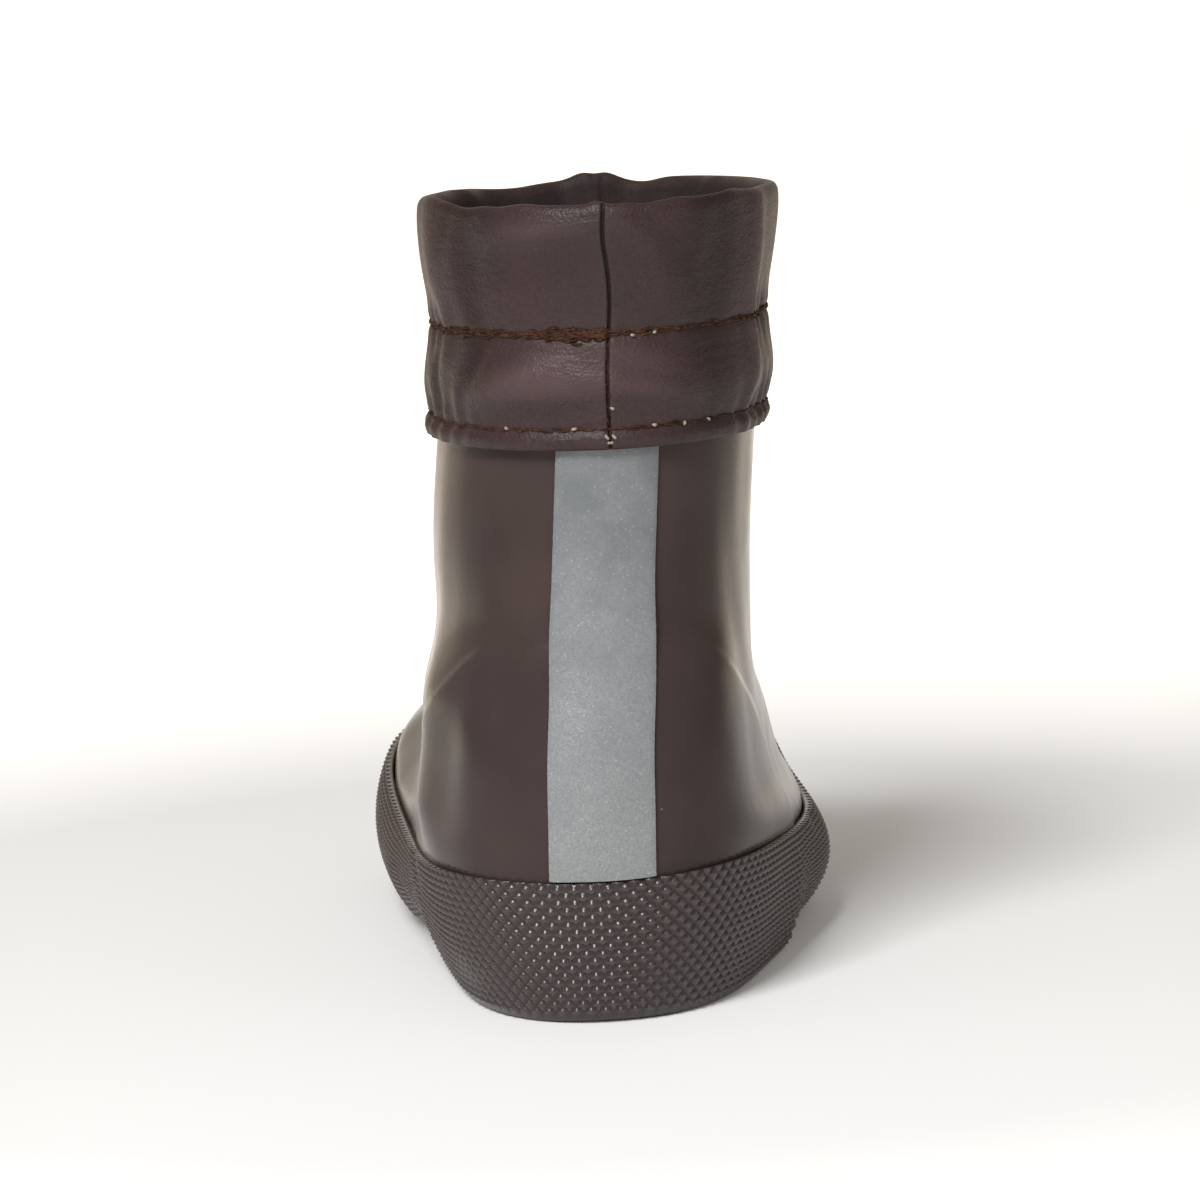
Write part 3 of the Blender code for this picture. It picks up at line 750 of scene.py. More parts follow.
# Reflective stripe
# Grey tape of tiny glass beads on a cloth backing, cut to a straight strip and stuck down the middle
# of the back, over the counter's step, from the sole to under the cuff.
STRIPE_WIDTH = 16 * MM
STRIPE_SHIFT = 0.5 * MM
STRIPE_THICKNESS = 0.4 * MM
STRIPE_FOOT_RISE = COUNTER_FOOT - 0.05
STRIPE_TOP_RISE = 6.91
STRIPE_EASE = (COUNTER_TOP_RISE + 0.02, COUNTER_TOP_RISE + 0.9)
STRIPE_RAGGED = 0.02 * MM
STRIPE_EDGE_LOSS, STRIPE_EDGE_POWER = 0.4, 30
STRIPE_REACH = 0.9
STRIPE_SCAN = 361
STRIPE_ROWS = 300
STRIPE_COLUMNS = 41
# The tape's grey low down, and the painted shade it darkens to towards the top.
TAPE_COLOUR = (0.300, 0.312, 0.314, 1)
TAPE_TOP_SHADE = (0.140, 0.153, 0.163, 1)
TAPE_WORN = (0.33, 0.345, 0.35, 1)
TAPE_PIT = (0.13, 0.14, 0.15, 1)
# Colour of the painted glints on a few beads.
TAPE_PAINTED_GLINT = (0.62, 0.64, 0.64, 1)


def bead_tape():
    """Beaded tape: a grey with painted shade towards the top, a grain of single beads, and painted
    glints on a few.
    """
    made, tree, shader, place = new_material("bead_tape")
    beads = add_node(tree, "ShaderNodeTexVoronoi", {"Vector": place, "Scale": 3600.0})
    tones = add_node(tree, "ShaderNodeSeparateColor", {"Color": beads.outputs["Color"]})
    single = tones.outputs["Green"]
    height = add_node(tree, "ShaderNodeSeparateXYZ", {"Vector": place}).outputs["Z"]
    # Painted shade: the grey darkens from low on the heel towards the top.
    lower = ranged(tree, height, 20 * MM, 92 * MM, 1.0, 0.0)
    colour = mixed(tree, lower, TAPE_TOP_SHADE, TAPE_COLOUR)
    worn = ranged(tree, noise(tree, place, 150, 5, 0.6), 0.35, 0.75, 0.0, 0.5)
    colour = mixed(tree, worn, colour, TAPE_WORN)
    colour = mixed(tree, ranged(tree, single, 0.0, 1.0, 0.42, 0.0), colour, TAPE_PIT)
    # Painted glints on a few single beads.
    painted_glint = ranged(tree, single, 0.965, 0.99, 0.0, 0.14)
    colour = mixed(tree, painted_glint, colour, TAPE_PAINTED_GLINT)
    gloss = ranged(tree, single, 0.0, 1.0, 0.62, 0.38)
    beaded = bumped(tree, beads.outputs["Distance"], 0.03 * MM)
    set_inputs(tree, shader, {"Base Color": colour, "Roughness": gloss, "Normal": beaded})
    return made


def make_stripe():
    """Closed strip: its cross-section runs over the outer face and back under it, carried up the heel.

    Across, places are lengths along the skin at each height, so that the strip keeps its width.
    """
    rises = np.linspace(STRIPE_FOOT_RISE, STRIPE_TOP_RISE, STRIPE_ROWS)
    scan = np.linspace(-STRIPE_REACH, STRIPE_REACH, STRIPE_SCAN)
    line = skin(scan[None, :], rises[:, None])
    steps = np.linalg.norm(np.diff(line, axis=1), axis=-1)
    length = np.concatenate([np.zeros((STRIPE_ROWS, 1)), np.cumsum(steps, axis=1)], axis=1)
    length -= length[:, [len(scan) // 2]]
    share = np.linspace(-1, 1, STRIPE_COLUMNS)
    places = STRIPE_SHIFT + share * STRIPE_WIDTH / 2
    ragged = np.sin(rises * 31) + np.sin(rises * 57 + 1) + np.sin(rises * 143 + 2)
    places = places * (1 + STRIPE_RAGGED * ragged[:, None] / STRIPE_WIDTH)
    turns = np.stack([np.interp(row, along, scan) for row, along in zip(places, length)])
    rises = np.broadcast_to(rises[:, None], turns.shape)
    over = COUNTER_STEP * (1 - smooth_step(*STRIPE_EASE, rises))
    over = over + lay_up_waves(turns, rises)
    edge = 1 - STRIPE_EDGE_LOSS * np.abs(share) ** STRIPE_EDGE_POWER
    outer = skin_out(turns, rises, FIT_GAP + over + STRIPE_THICKNESS * edge)
    inner = skin_out(turns, rises, FIT_GAP + over)
    rings = np.concatenate([outer, inner[:, ::-1]], axis=1)
    faces = grid_faces(STRIPE_ROWS, 2 * STRIPE_COLUMNS, round_columns=True)
    cap = np.arange(STRIPE_COLUMNS - 1)
    back = 2 * STRIPE_COLUMNS - 1 - cap
    low_end = np.stack([cap, back, back - 1, cap + 1], axis=1)
    high_end = low_end[:, ::-1] + (STRIPE_ROWS - 1) * 2 * STRIPE_COLUMNS
    stripe = mesh_piece("stripe_tape", rings, np.concatenate([faces, low_end, high_end]), [bead_tape()])
    stripe.data.set_sharp_from_angle(angle=math.radians(50))
    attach(stripe, "root")
    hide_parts("reflective_stripe")


make_stripe()

# Cuff
# A tube of coated cloth with a fine leather-like grain, sewn to the shaft's top and folded down over
# it. It has a seam down the back and one in front, a stitch row round its middle and a stitched hem,
# and the stitching gathers it into little pleats at the sides.
CUFF_CLOTH = 1.3 * MM
CUFF_HEM_GAP = 1.0 * MM
CUFF_INNER_RISE = 6.9
CUFF_WAVE = 0.5 * MM
CUFF_WAVE_RISES = (7.6, 8.9)
CUFF_COLUMNS = 540
CUFF_STEP = 0.5 * MM
CUFF_DEGREE = 0.40 * MM
HEM_STITCH_RISE = 6.87
MIDDLE_STITCH_RISE = 7.55
RIM_RISES = (8.2, 8.95)
SEAM_TOP_RISE = 8.9
SEAM_TOP_DEGREES, SEAM_SLANT, SEAM_WANDER = -1.6, 1.4, 0.5
SEAM_DEPTH, SEAM_WIDTH, FRONT_SEAM_WIDTH = 0.6 * MM, 0.19 * MM, 0.42 * MM
SEAM_LIP, SEAM_LIP_WIDTH, FRONT_SEAM_LIP_WIDTH = 0.24 * MM, 2.2 * MM, 2.4 * MM
# Half width of the painted shade in the back seam's groove.
SEAM_SHADE_WIDTH = 0.16 * MM
STITCH_GROOVE, MIDDLE_GROOVE_RISE, HEM_GROOVE_RISE = 0.38 * MM, 0.045, 0.04
INNER_GROOVE_SHARE = 0.35
MIDDLE_PLEAT, MIDDLE_PLEAT_RISE = 0.36 * MM, 0.20
HEM_PLEAT, HEM_PLEAT_RISE, HEM_PLEAT_SHIFT = 0.42 * MM, 0.18, 0.03
PLEAT_BACK_SHARE = 0.10
PLEAT_SIDES = (0.62, 0.97)
CUFF_COLOUR = (0.056, 0.0290, 0.0285, 1)
CUFF_SHADE = (0.036, 0.0190, 0.0185, 1)
# Painted shade for the creases' hollows and a painted highlight for their swells.
CUFF_HOLLOW_SHADE = (0.021, 0.0082, 0.0082, 1)
CUFF_SWELL_HIGHLIGHT = (0.100, 0.0625, 0.0620, 1)
CUFF_PIT = (0.018, 0.012, 0.011, 1)
# Painted shade in the back seam's groove.
CUFF_SEAM_SHADE = (0.008, 0.005, 0.005, 1)
# Painted shade on the inner leg, inside the fold.
CUFF_INSIDE_SHADE = (0.007, 0.004, 0.004, 1)
CUFF_WAVES = [
    Wave("broad", 1.0, 5, 0.0, 0.6),
    Wave("middle", 0.7, 9, 0.0, 2.1),
    Wave("close", 0.5, 14, 0.0, 0.0),
]

# Rows of the cloth's profile from the hem up over the fold and down inside, out from the last.
CuffRow = namedtuple("CuffRow", "name rise out")
CUFF_ROWS = [
    CuffRow("hem_edge", 6.73, 1.75 * MM),
    CuffRow("hem_roll", 6.80, 2.15 * MM),
    CuffRow("hem_stitch", HEM_STITCH_RISE, 1.8 * MM),
    CuffRow("lower_band", 7.06, 2.5 * MM),
    CuffRow("lower_band_top", 7.34, 2.1 * MM),
    CuffRow("middle_stitch", MIDDLE_STITCH_RISE, 1.5 * MM),
    CuffRow("upper_band", 7.88, 2.2 * MM),
    CuffRow("upper_flare", 8.38, 3.0 * MM),
    CuffRow("roll_shoulder", 8.81, 3.05 * MM),
    CuffRow("roll_outer", 8.95, 2.65 * MM),
    CuffRow("roll_top", 9.00, 1.9 * MM),
    CuffRow("roll_inner", 8.96, 1.1 * MM),
    CuffRow("mouth", 8.72, -0.6 * MM),
    CuffRow("inner_top", 8.10, -UPPER_WALL - FIT_GAP - CUFF_CLOTH),
    CuffRow("inner_middle", 7.50, -UPPER_WALL - FIT_GAP - CUFF_CLOTH),
    CuffRow("inner_end", CUFF_INNER_RISE, -UPPER_WALL - FIT_GAP - CUFF_CLOTH),
]

# Swells, hollows and drag lines of the outer leg, then folds that run over the rim into the inner leg.
CUFF_CREASES = [
    Crease("inner_side_valley", -45, 8.25, 86, 12, 4.8, -1.50),
    Crease("inner_rim_fold", -55, 8.72, 60, 6, 2.2, -0.60),
    Crease("inner_edge_ridge", -64, 8.15, 88, 10, 3.2, 0.80),
    Crease("top_sheen_swell", -22, 8.62, 2, 9, 2.4, 0.55),
    Crease("upper_band_hollow", -17, 8.15, 2, 11, 4.2, -0.45),
    Crease("seam_drag_outer", 9, 8.55, -48, 6, 2.0, 0.35),
    Crease("seam_drag_trough", 17, 8.35, -48, 9, 2.6, -0.45),
    Crease("outer_valley", 34, 8.25, 92, 13, 5.0, -1.30),
    Crease("outer_edge_ridge", 55, 8.20, 90, 14, 3.0, 1.00),
    Crease("low_band_swell", -20, 7.20, 4, 11, 3.8, 0.72),
    Crease("low_band_hollow", -26, 7.00, 4, 10, 1.8, -0.45),
    Crease("low_inner_hollow", -62, 7.10, 20, 8, 3.4, -0.80),
    Crease("low_band_drag", -45, 7.28, 60, 7, 2.2, -0.60),
    Crease("low_band_drag_rear", -60, 7.40, 60, 4, 1.6, 0.30),
    Crease("low_outer_drag", 8, 7.38, -20, 7, 2.4, 0.45),
    Crease("low_outer_swell", 10, 7.16, -12, 7, 1.6, 0.45),
    Crease("low_outer_pleat", 34, 7.14, 96, 8, 3.6, -0.60),
    Crease("low_outer_pleat_side", 55, 7.22, 88, 9, 2.4, 0.80),
    Crease("low_inner_pleat", -68, 7.25, 80, 6, 1.6, -0.60),
    Crease("low_band_ridge", -22, 7.30, 22, 8, 1.8, 0.35),
    Crease("front_swell", 170, 8.2, 0, 14, 7, 0.45),
    Crease("front_drag", -158, 7.9, 55, 9, 2.2, -0.45),
]
FOLD_CREASES = [
    Crease("front_middle_fold", 183, 8.80, 84, 8, 1.8, -1.00),
    Crease("front_middle_trough", 193, 8.80, 80, 8, 2.2, 0.80),
    Crease("front_inner_fold", 207, 8.80, 70, 8, 2.2, -0.90),
    Crease("front_far_inner_fold", 232, 8.80, 56, 7, 2.4, -1.00),
    Crease("front_far_inner_trough", 221, 8.80, 62, 7, 2.2, 0.70),
    Crease("front_outer_trough", 170, 8.80, 98, 8, 2.4, 0.70),
    Crease("front_outer_fold", 157, 8.80, 104, 8, 2.4, -0.80),
    Crease("front_far_outer_fold", 134, 8.80, 110, 7, 2.6, -0.70),
]

# Rises and dips of the rim, by the angle round the boot and half width in degrees, lift in millimetres.
RimBump = namedtuple("RimBump", "name turn width lift")
RIM_BUMPS = [
    RimBump("back_sag", 0, 48, -0.9),
    RimBump("inner_dip", -47, 8, -0.70),
    RimBump("inner_edge_hump", -66, 8, 0.75),
    RimBump("seam_peak", -3, 2.5, 0.55),
    RimBump("inner_nick", -34, 4, -0.30),
    RimBump("inner_crest", -24, 4, 0.20),
    RimBump("outer_nick", 10, 3, -0.25),
    RimBump("outer_crest", 21, 4, 0.25),
    RimBump("outer_far_crest", 43, 5, 0.35),
    RimBump("front_outer_peak", 177, 4.5, 1.0),
    RimBump("front_peak", 185, 4.5, 1.1),
    RimBump("front_inner_dip", 212, 14, -0.7),
    RimBump("front_outer_dip", 165, 7, -0.75),
]


def cuff_wave(turns, rises):
    """Slack of the cloth: a few soft waves round the cuff, growing from the middle seam to the fold."""
    fullness = smooth_step(*CUFF_WAVE_RISES, rises)
    whole = sum(wave.height for wave in CUFF_WAVES)
    return CUFF_WAVE * fullness * wave_sum(turns, rises, CUFF_WAVES) / whole


def rim_lift(turns, rises):
    """How far the fold is raised or lowered round the rim, fading out below it."""
    lift = np.zeros(np.shape(turns))
    for bump in RIM_BUMPS:
        away = np.degrees(signed_turn(turns - math.radians(bump.turn)))
        lift = lift + bump.lift * MM * hump(away, bump.width)
    return lift * smooth_step(*RIM_RISES, rises)


def seam_line(rises):
    """Angle of the back seam, which wanders a little from the rim to the hem."""
    slant = SEAM_TOP_DEGREES + SEAM_SLANT * (SEAM_TOP_RISE - rises)
    return np.radians(slant + SEAM_WANDER * np.sin(5 * rises))


def seam_distance(turns, seam):
    """Length round the cuff from a seam at that angle."""
    return np.degrees(signed_turn(turns - seam)) * CUFF_DEGREE


def cuff_gathers(turns, rises):
    """Pleats drawn up by the two stitch rows: ripples round the cuff that fade away from each row.

    They are strongest at the sides, and their spacing wanders.
    """
    side = smooth_step(*PLEAT_SIDES, np.abs(np.sin(turns)))
    side = PLEAT_BACK_SHARE + (1 - PLEAT_BACK_SHARE) * side
    ripple = np.sin(36 * turns + 1.6 * np.sin(5 * turns) + 0.8 * np.sin(11 * turns + 1))
    other = np.sin(44 * turns + 1.9 * np.sin(4 * turns + 2) + 0.4)
    middle = MIDDLE_PLEAT * hump(rises - MIDDLE_STITCH_RISE, MIDDLE_PLEAT_RISE) * ripple
    hem = HEM_PLEAT * hump(rises - HEM_STITCH_RISE - HEM_PLEAT_SHIFT, HEM_PLEAT_RISE) * other
    return side * (middle + hem)


def cuff_stitch_grooves(turns, rises):
    """Narrow troughs under the two rows of thread, and the grooves and lips of both seams."""
    rows = hump(rises - MIDDLE_STITCH_RISE, MIDDLE_GROOVE_RISE)
    rows = rows + hump(rises - HEM_STITCH_RISE, HEM_GROOVE_RISE)
    away = seam_distance(turns, seam_line(rises))
    front = seam_distance(turns, math.pi)
    seams = hump(away, SEAM_WIDTH) + hump(front, FRONT_SEAM_WIDTH)
    lips = hump(away, SEAM_LIP_WIDTH) + hump(front, FRONT_SEAM_LIP_WIDTH)
    return SEAM_LIP * lips - STITCH_GROOVE * rows - SEAM_DEPTH * seams


def cuff_relief(turns, rises, outside):
    """All that the cloth stands off its profile. outside is 1 on the outer leg, 0 on the inner."""
    base = skin(turns, rises)
    relief = cuff_gathers(turns, rises) + crease_depth(base, CUFF_CREASES)
    shown = INNER_GROOVE_SHARE + (1 - INNER_GROOVE_SHARE) * outside
    grooves = cuff_stitch_grooves(turns, rises) * shown
    return cuff_wave(turns, rises) + outside * relief + grooves + crease_depth(base, FOLD_CREASES)


def cuff_profile():
    """Rises and offsets along the cloth from hem to inner end: a spline through the rows by length."""
    rises = np.array([row.rise for row in CUFF_ROWS])
    outs = np.array([row.out for row in CUFF_ROWS])
    heights = skin(np.zeros(len(rises)), rises)[:, 2]
    length = np.concatenate([[0], np.cumsum(np.hypot(np.diff(heights), np.diff(outs)))])
    places = np.linspace(0, length[-1], round(length[-1] / CUFF_STEP))
    weights = spline_weights(length, places)
    fold = length[[row.name for row in CUFF_ROWS].index("roll_top")]
    outside = 1 - smooth_step(fold - 1 * MM, fold + 4 * MM, places)
    return weights @ rises, weights @ outs, outside


def coated_cloth():
    """Coated cloth: pebble grain with fine wrinkles, a painted highlight on swells, and painted shade
    in hollows, in the back seam's groove and on the inner leg.
    """
    made, tree, shader, place = new_material("coated_cloth_look")
    drift = add_node(tree, "ShaderNodeTexNoise", {"Vector": place, "Scale": 500.0, "Detail": 2.0})
    bent = add_node(tree, "ShaderNodeMix", {0: 0.0009}, data_type="VECTOR")
    tree.links.new(place, bent.inputs[4])
    tree.links.new(drift.outputs["Color"], bent.inputs[5])
    cells = {"Vector": bent.outputs[1], "Scale": 2500.0, "Smoothness": 0.6}
    pebbles = add_node(tree, "ShaderNodeTexVoronoi", cells, feature="SMOOTH_F1").outputs["Distance"]
    hairs = noise(tree, place, 1000, 5, 0.62)
    clouds = noise(tree, place, 70, 4)
    drawn = {"Vector": place, "Rotation": (0.0, 0.35, 0.0), "Scale": (0.32, 0.32, 1.0)}
    drawn = add_node(tree, "ShaderNodeMapping", drawn).outputs["Vector"]
    wrinkles = noise(tree, drawn, 620, 3, 0.6)
    colour = mixed(tree, ranged(tree, clouds, 0.32, 0.72, 0.0, 1.0), CUFF_SHADE, CUFF_COLOUR)
    colour = mixed(tree, ranged(tree, pebbles, 0.35, 0.75, 0.0, 0.45), colour, CUFF_PIT)
    # Painted shade in the creases' hollows and a painted highlight on their swells, by how far the
    # creases raise the cloth.
    raised = attribute(tree, "raised")
    colour = mixed(tree, ranged(tree, raised, -0.8, 0.0, 0.85, 0.0), colour, CUFF_HOLLOW_SHADE)
    colour = mixed(tree, ranged(tree, raised, 0.1, 1.0, 0.0, 0.7), colour, CUFF_SWELL_HIGHLIGHT)
    # Painted shade in the back seam's groove.
    colour = mixed(tree, ranged(tree, attribute(tree, "seam"), 0.2, 0.8, 0.0, 0.85), colour, CUFF_SEAM_SHADE)
    # Painted shade on the inner leg, which is also made rougher.
    inner = attribute(tree, "inner")
    colour = mixed(tree, ranged(tree, inner, 0.2, 0.9, 0.0, 0.6), colour, CUFF_INSIDE_SHADE)
    grain = bumped(tree, wrinkles, 0.24 * MM, bumped(tree, hairs, 0.11 * MM))
    grain = bumped(tree, pebbles, -0.08 * MM, grain)
    gloss = ranged(tree, hairs, 0.3, 0.7, 0.42, 0.53)
    matt = ranged(tree, inner, 0.2, 0.9, 0.0, 0.35)
    gloss = combined(tree, "ADD", gloss, matt)
    set_inputs(tree, shader, {"Base Color": colour, "Roughness": gloss, "Normal": grain})
    set_inputs(tree, shader, {"Specular IOR Level": 0.36})
    return made


def cuff_turns():
    """Angles round the cuff, closer together by the back seam so that its groove has enough points."""
    scan = np.linspace(-math.pi, math.pi, 4001)
    share = np.cumsum(1 + 4 * hump(np.degrees(scan), 5))
    share = (share - share[0]) / (share[-1] - share[0])
    return np.interp(np.arange(CUFF_COLUMNS) / CUFF_COLUMNS, share, scan)


def make_cuff():
    """One loop of cloth swept round the shaft: outside, fold and inner leg, then its hidden back."""
    turns = cuff_turns()
    rises, outs, outside = (v[:, None] for v in cuff_profile())
    grid_turns, grid_rises = np.broadcast_arrays(turns[None, :], rises)
    face = skin_out(grid_turns, grid_rises, outs + cuff_relief(grid_turns, grid_rises, outside))
    face[..., 2] += rim_lift(grid_turns, grid_rises)
    inside = -UPPER_WALL - FIT_GAP
    over_shaft = SHAFT_TOP + 0.025
    back_rises = [CUFF_INNER_RISE, 7.5, 8.0, over_shaft, over_shaft, 7.55, 7.34, 7.06, 6.87, 6.73]
    back_outs = [inside, inside, inside, inside, FIT_GAP]
    back_outs += [CUFF_HEM_GAP * share for share in (0.4, 0.6, 0.8, 0.9, 1.0)]
    grid = np.meshgrid(turns, back_rises)
    back = skin_out(*grid, np.array(back_outs)[:, None])
    points = np.concatenate([face, back])
    faces = grid_faces(len(points), CUFF_COLUMNS, True, True)
    cuff = mesh_piece("cuff_cloth", points, faces, [coated_cloth()])
    unseen = np.zeros(back.shape[:2])
    # Where the back seam's groove gets its painted shade.
    seam = outside * hump(seam_distance(grid_turns, seam_line(grid_rises)), SEAM_SHADE_WIDTH)
    # How far the creases raise the outer leg, in millimetres, which sets the painted highlight and
    # shade.
    raised = outside * crease_depth(skin(grid_turns, grid_rises), CUFF_CREASES) / MM
    # 1 on the inner leg, where its shade is painted.
    inner = np.broadcast_to(1 - outside, raised.shape)
    for name, values in (("seam", seam), ("raised", raised), ("inner", inner)):
        add_attribute(cuff, name, np.concatenate([values, unseen]))
    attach(cuff, "root")
    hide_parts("cuff")
    return cuff


cuff = make_cuff()

# Cuff thread
# Thick rust-brown sewing thread. The middle row is back-tacked over itself left of the seam into a
# messy band, the hem row sits deeper, and small stitches show in the seam. A few pale ends stick out.
THREAD_RADIUS = 0.17 * MM
THREAD_RINGS = 7
THREAD_SIDES = 6
THREAD_COLOUR = (0.118, 0.045, 0.016, 1)
THREAD_SHADE = (0.018, 0.007, 0.004, 1)
THREAD_DIVE = 0.25 * MM
THREAD_TAPER = 0.35
THREAD_SEED = 7
MM_PER_RISE = 21
SEAM_STITCH_RISES = np.arange(6.84, 7.54, 0.09)
SEAM_STITCH, SEAM_STITCH_LIFT = 1.3 * MM, 0.12 * MM
END_RADIUS, END_LIFT = 0.24 * MM, 0.3 * MM
END_COLOUR = (0.42, 0.36, 0.32, 1)
END_SHADE = (0.35, 0.28, 0.24, 1)
CUFF_GIRTH = 216 * MM

# Rows of stitches: start and end as shares of half the girth from the back, sizes in millimetres,
# spread off the row and tilt in degrees as they vary, and how many layers are sewn over each other.
StitchRun = namedtuple("StitchRun", "name rise start end pitch stitch lift spread tilt layers")
STITCH_RUNS = [
    StitchRun("middle_row", MIDDLE_STITCH_RISE, -1.0, 1.0, 1.9, 2.2, 0.16, 0.20, 11, 3),
    StitchRun("middle_row_inner", MIDDLE_STITCH_RISE, -0.50, -0.07, 1.6, 2.2, 0.22, 0.30, 13, 3),
    StitchRun("middle_row_outer", MIDDLE_STITCH_RISE, 0.27, 0.50, 1.6, 2.2, 0.22, 0.30, 13, 3),
    StitchRun("back_tack", MIDDLE_STITCH_RISE, -0.098, 0.0, 1.0, 2.2, 0.32, 0.40, 8, 14),
    StitchRun("hem_row", HEM_STITCH_RISE, -1.0, 1.0, 2.4, 2.4, 0.10, 0.14, 6, 2),
]

# Pale ends, by the distance from the back's middle and the length in millimetres.
ThreadEnd = namedtuple("ThreadEnd", "name across rise length")
THREAD_ENDS = [
    ThreadEnd("hem_inner_far", -15.0, 6.88, 0.6),
    ThreadEnd("hem_inner_near", -4.4, 6.88, 0.8),
    ThreadEnd("hem_outer_near", 7.2, 6.88, 0.6),
    ThreadEnd("hem_outer", 12.0, 6.87, 0.55),
    ThreadEnd("hem_outer_far", 16.8, 6.87, 0.55),
    ThreadEnd("seam_knot_left", 0.3, 6.82, 0.8),
    ThreadEnd("seam_knot_right", 1.3, 6.82, 0.7),
    ThreadEnd("seam_knot_low", 0.8, 6.78, 0.8),
    ThreadEnd("seam_low", 0.9, 7.02, 0.5),
    ThreadEnd("middle_outer_near", 3.6, 7.53, 0.55),
    ThreadEnd("middle_outer", 6.9, 7.54, 0.5),
]


def cuff_face(turns, rises, lift):
    """Place on the cuff's outer face, lifted by some height off it, and the normal there."""
    names = [row.name for row in CUFF_ROWS]
    outer = CUFF_ROWS[: names.index("roll_shoulder") + 1]
    weights = spline_weights([row.rise for row in outer], rises)
    out = (weights @ np.array([row.out for row in outer])).reshape(np.shape(rises))
    out = out + cuff_relief(turns, rises, 1.0)
    return skin_out(turns, rises, out + lift), skin_frame(turns, rises)[2]


def stitches(turns, rises, tilts, lengths, lifts, radius):
    """Points and faces of many short stitches: tubes that arch off the cloth and dive in at both ends.

    Each is centred at a turn and rise and runs level, turned by its tilt. Its height over the cloth is
    a half wave along it, and its tube narrows towards the ends.
    """
    share = np.linspace(-1, 1, THREAD_RINGS)
    per_turn = np.linalg.norm(skin_frame(turns, rises)[0], axis=-1)[:, None]
    per_rise = np.linalg.norm(skin_frame(turns, rises)[1], axis=-1)[:, None]
    run = lengths[:, None] / 2 * share
    turn = turns[:, None] + run * np.cos(tilts)[:, None] / per_turn
    rise = rises[:, None] + run * np.sin(tilts)[:, None] / per_rise
    arch = lifts[:, None] * np.cos(share * math.pi / 2) - THREAD_DIVE * share**4
    line, normal = cuff_face(turn, rise, arch)
    ahead = np.gradient(line, axis=1)
    ahead /= np.linalg.norm(ahead, axis=-1, keepdims=True)
    beside = np.cross(normal, ahead)
    beside /= np.linalg.norm(beside, axis=-1, keepdims=True)
    above = np.cross(ahead, beside)
    angle = (np.arange(THREAD_SIDES) * 2 * math.pi / THREAD_SIDES)[:, None]
    thick = radius * (1 - THREAD_TAPER * share**4)[None, :, None, None]
    around = np.cos(angle) * beside[:, :, None, :] + np.sin(angle) * above[:, :, None, :]
    points = line[:, :, None, :] + thick * around
    faces = grid_faces(THREAD_RINGS, THREAD_SIDES, round_columns=True)
    caps = np.arange(THREAD_SIDES)
    starts = np.arange(len(turns)) * THREAD_RINGS * THREAD_SIDES
    faces = (faces[None] + starts[:, None, None]).reshape(-1, 4).tolist()
    faces += (caps[::-1][None] + starts[:, None]).tolist()
    faces += (caps[None] + (THREAD_RINGS - 1) * THREAD_SIDES + starts[:, None]).tolist()
    return points, faces


def twisted_thread(name, colour, shade, roughness):
    """Sewing thread: a fine grain of lighter and darker fibres, darker in random patches."""
    made, tree, shader, place = new_material(name)
    twist = noise(tree, place, 2600, 4, 0.7)
    twisted = mixed(tree, ranged(tree, twist, 0.3, 0.7, 0.0, 1.0), shade, colour)
    dark_patches = ranged(tree, noise(tree, place, 900, 2), 0.40, 0.58, 0.85, 0.0)
    colour = mixed(tree, dark_patches, twisted, shade)
    set_inputs(tree, shader, {"Base Color": colour, "Normal": bumped(tree, twist, 0.12 * MM)})
    set_inputs(tree, shader, {"Roughness": roughness, "Specular IOR Level": 0.2})
    return made


def make_thread():
    """Stitches of the runs and of the back seam as one mesh, seeded and uneven, then the ends."""
    chance = np.random.default_rng(THREAD_SEED)
    turns, rises, tilts, lengths, lifts = [], [], [], [], []
    for run in STITCH_RUNS:
        reach = run.end - run.start
        count = int(reach / 2 * CUFF_GIRTH / (run.pitch * MM))
        for _ in range(run.layers):
            place = run.start + reach * (np.arange(count) + chance.uniform(0, 1)) / count
            turns.append(place * math.pi + chance.normal(0, 0.01, count))
            rises.append(run.rise + chance.normal(0, 1, count) * run.spread / MM_PER_RISE)
            tilts.append(np.radians(chance.normal(0, 1, count) * run.tilt))
            lengths.append(run.stitch * MM * chance.uniform(0.85, 1.15, count))
            lifts.append(run.lift * MM * chance.uniform(0.6, 1.3, count))
    count = len(SEAM_STITCH_RISES)
    turns.append(seam_line(SEAM_STITCH_RISES) + chance.normal(0, 0.008, count))
    rises.append(SEAM_STITCH_RISES)
    tilts.append(math.pi / 2 + chance.normal(0, 0.25, count))
    lengths.append(SEAM_STITCH * chance.uniform(0.8, 1.2, count))
    lifts.append(np.full(count, SEAM_STITCH_LIFT))
    turns, rises, tilts, lengths, lifts = map(np.concatenate, (turns, rises, tilts, lengths, lifts))
    points, faces = stitches(turns, rises, tilts, lengths, lifts, THREAD_RADIUS)
    rust = twisted_thread("rust_thread", THREAD_COLOUR, THREAD_SHADE, 0.6)
    thread = mesh_piece("cuff_thread", points, faces, [rust])
    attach(thread, "root")
    across = np.array([end.across for end in THREAD_ENDS]) * MM
    end_rises = np.array([end.rise for end in THREAD_ENDS])
    end_turns = across / np.linalg.norm(skin_frame(np.zeros(len(across)), end_rises)[0], axis=-1)
    end_lengths = np.array([end.length for end in THREAD_ENDS]) * MM
    end_tilts = np.radians(chance.uniform(-70, 70, len(across)))
    end_lifts = np.full(len(across), END_LIFT)
    points, faces = stitches(end_turns, end_rises, end_tilts, end_lengths, end_lifts, END_RADIUS)
    pale = twisted_thread("pale_thread_end", END_COLOUR, END_SHADE, 0.35)
    ends = mesh_piece("cuff_thread_ends", points, faces, [pale])
    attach(ends, "root")
    return thread, ends


thread, thread_ends = make_thread()

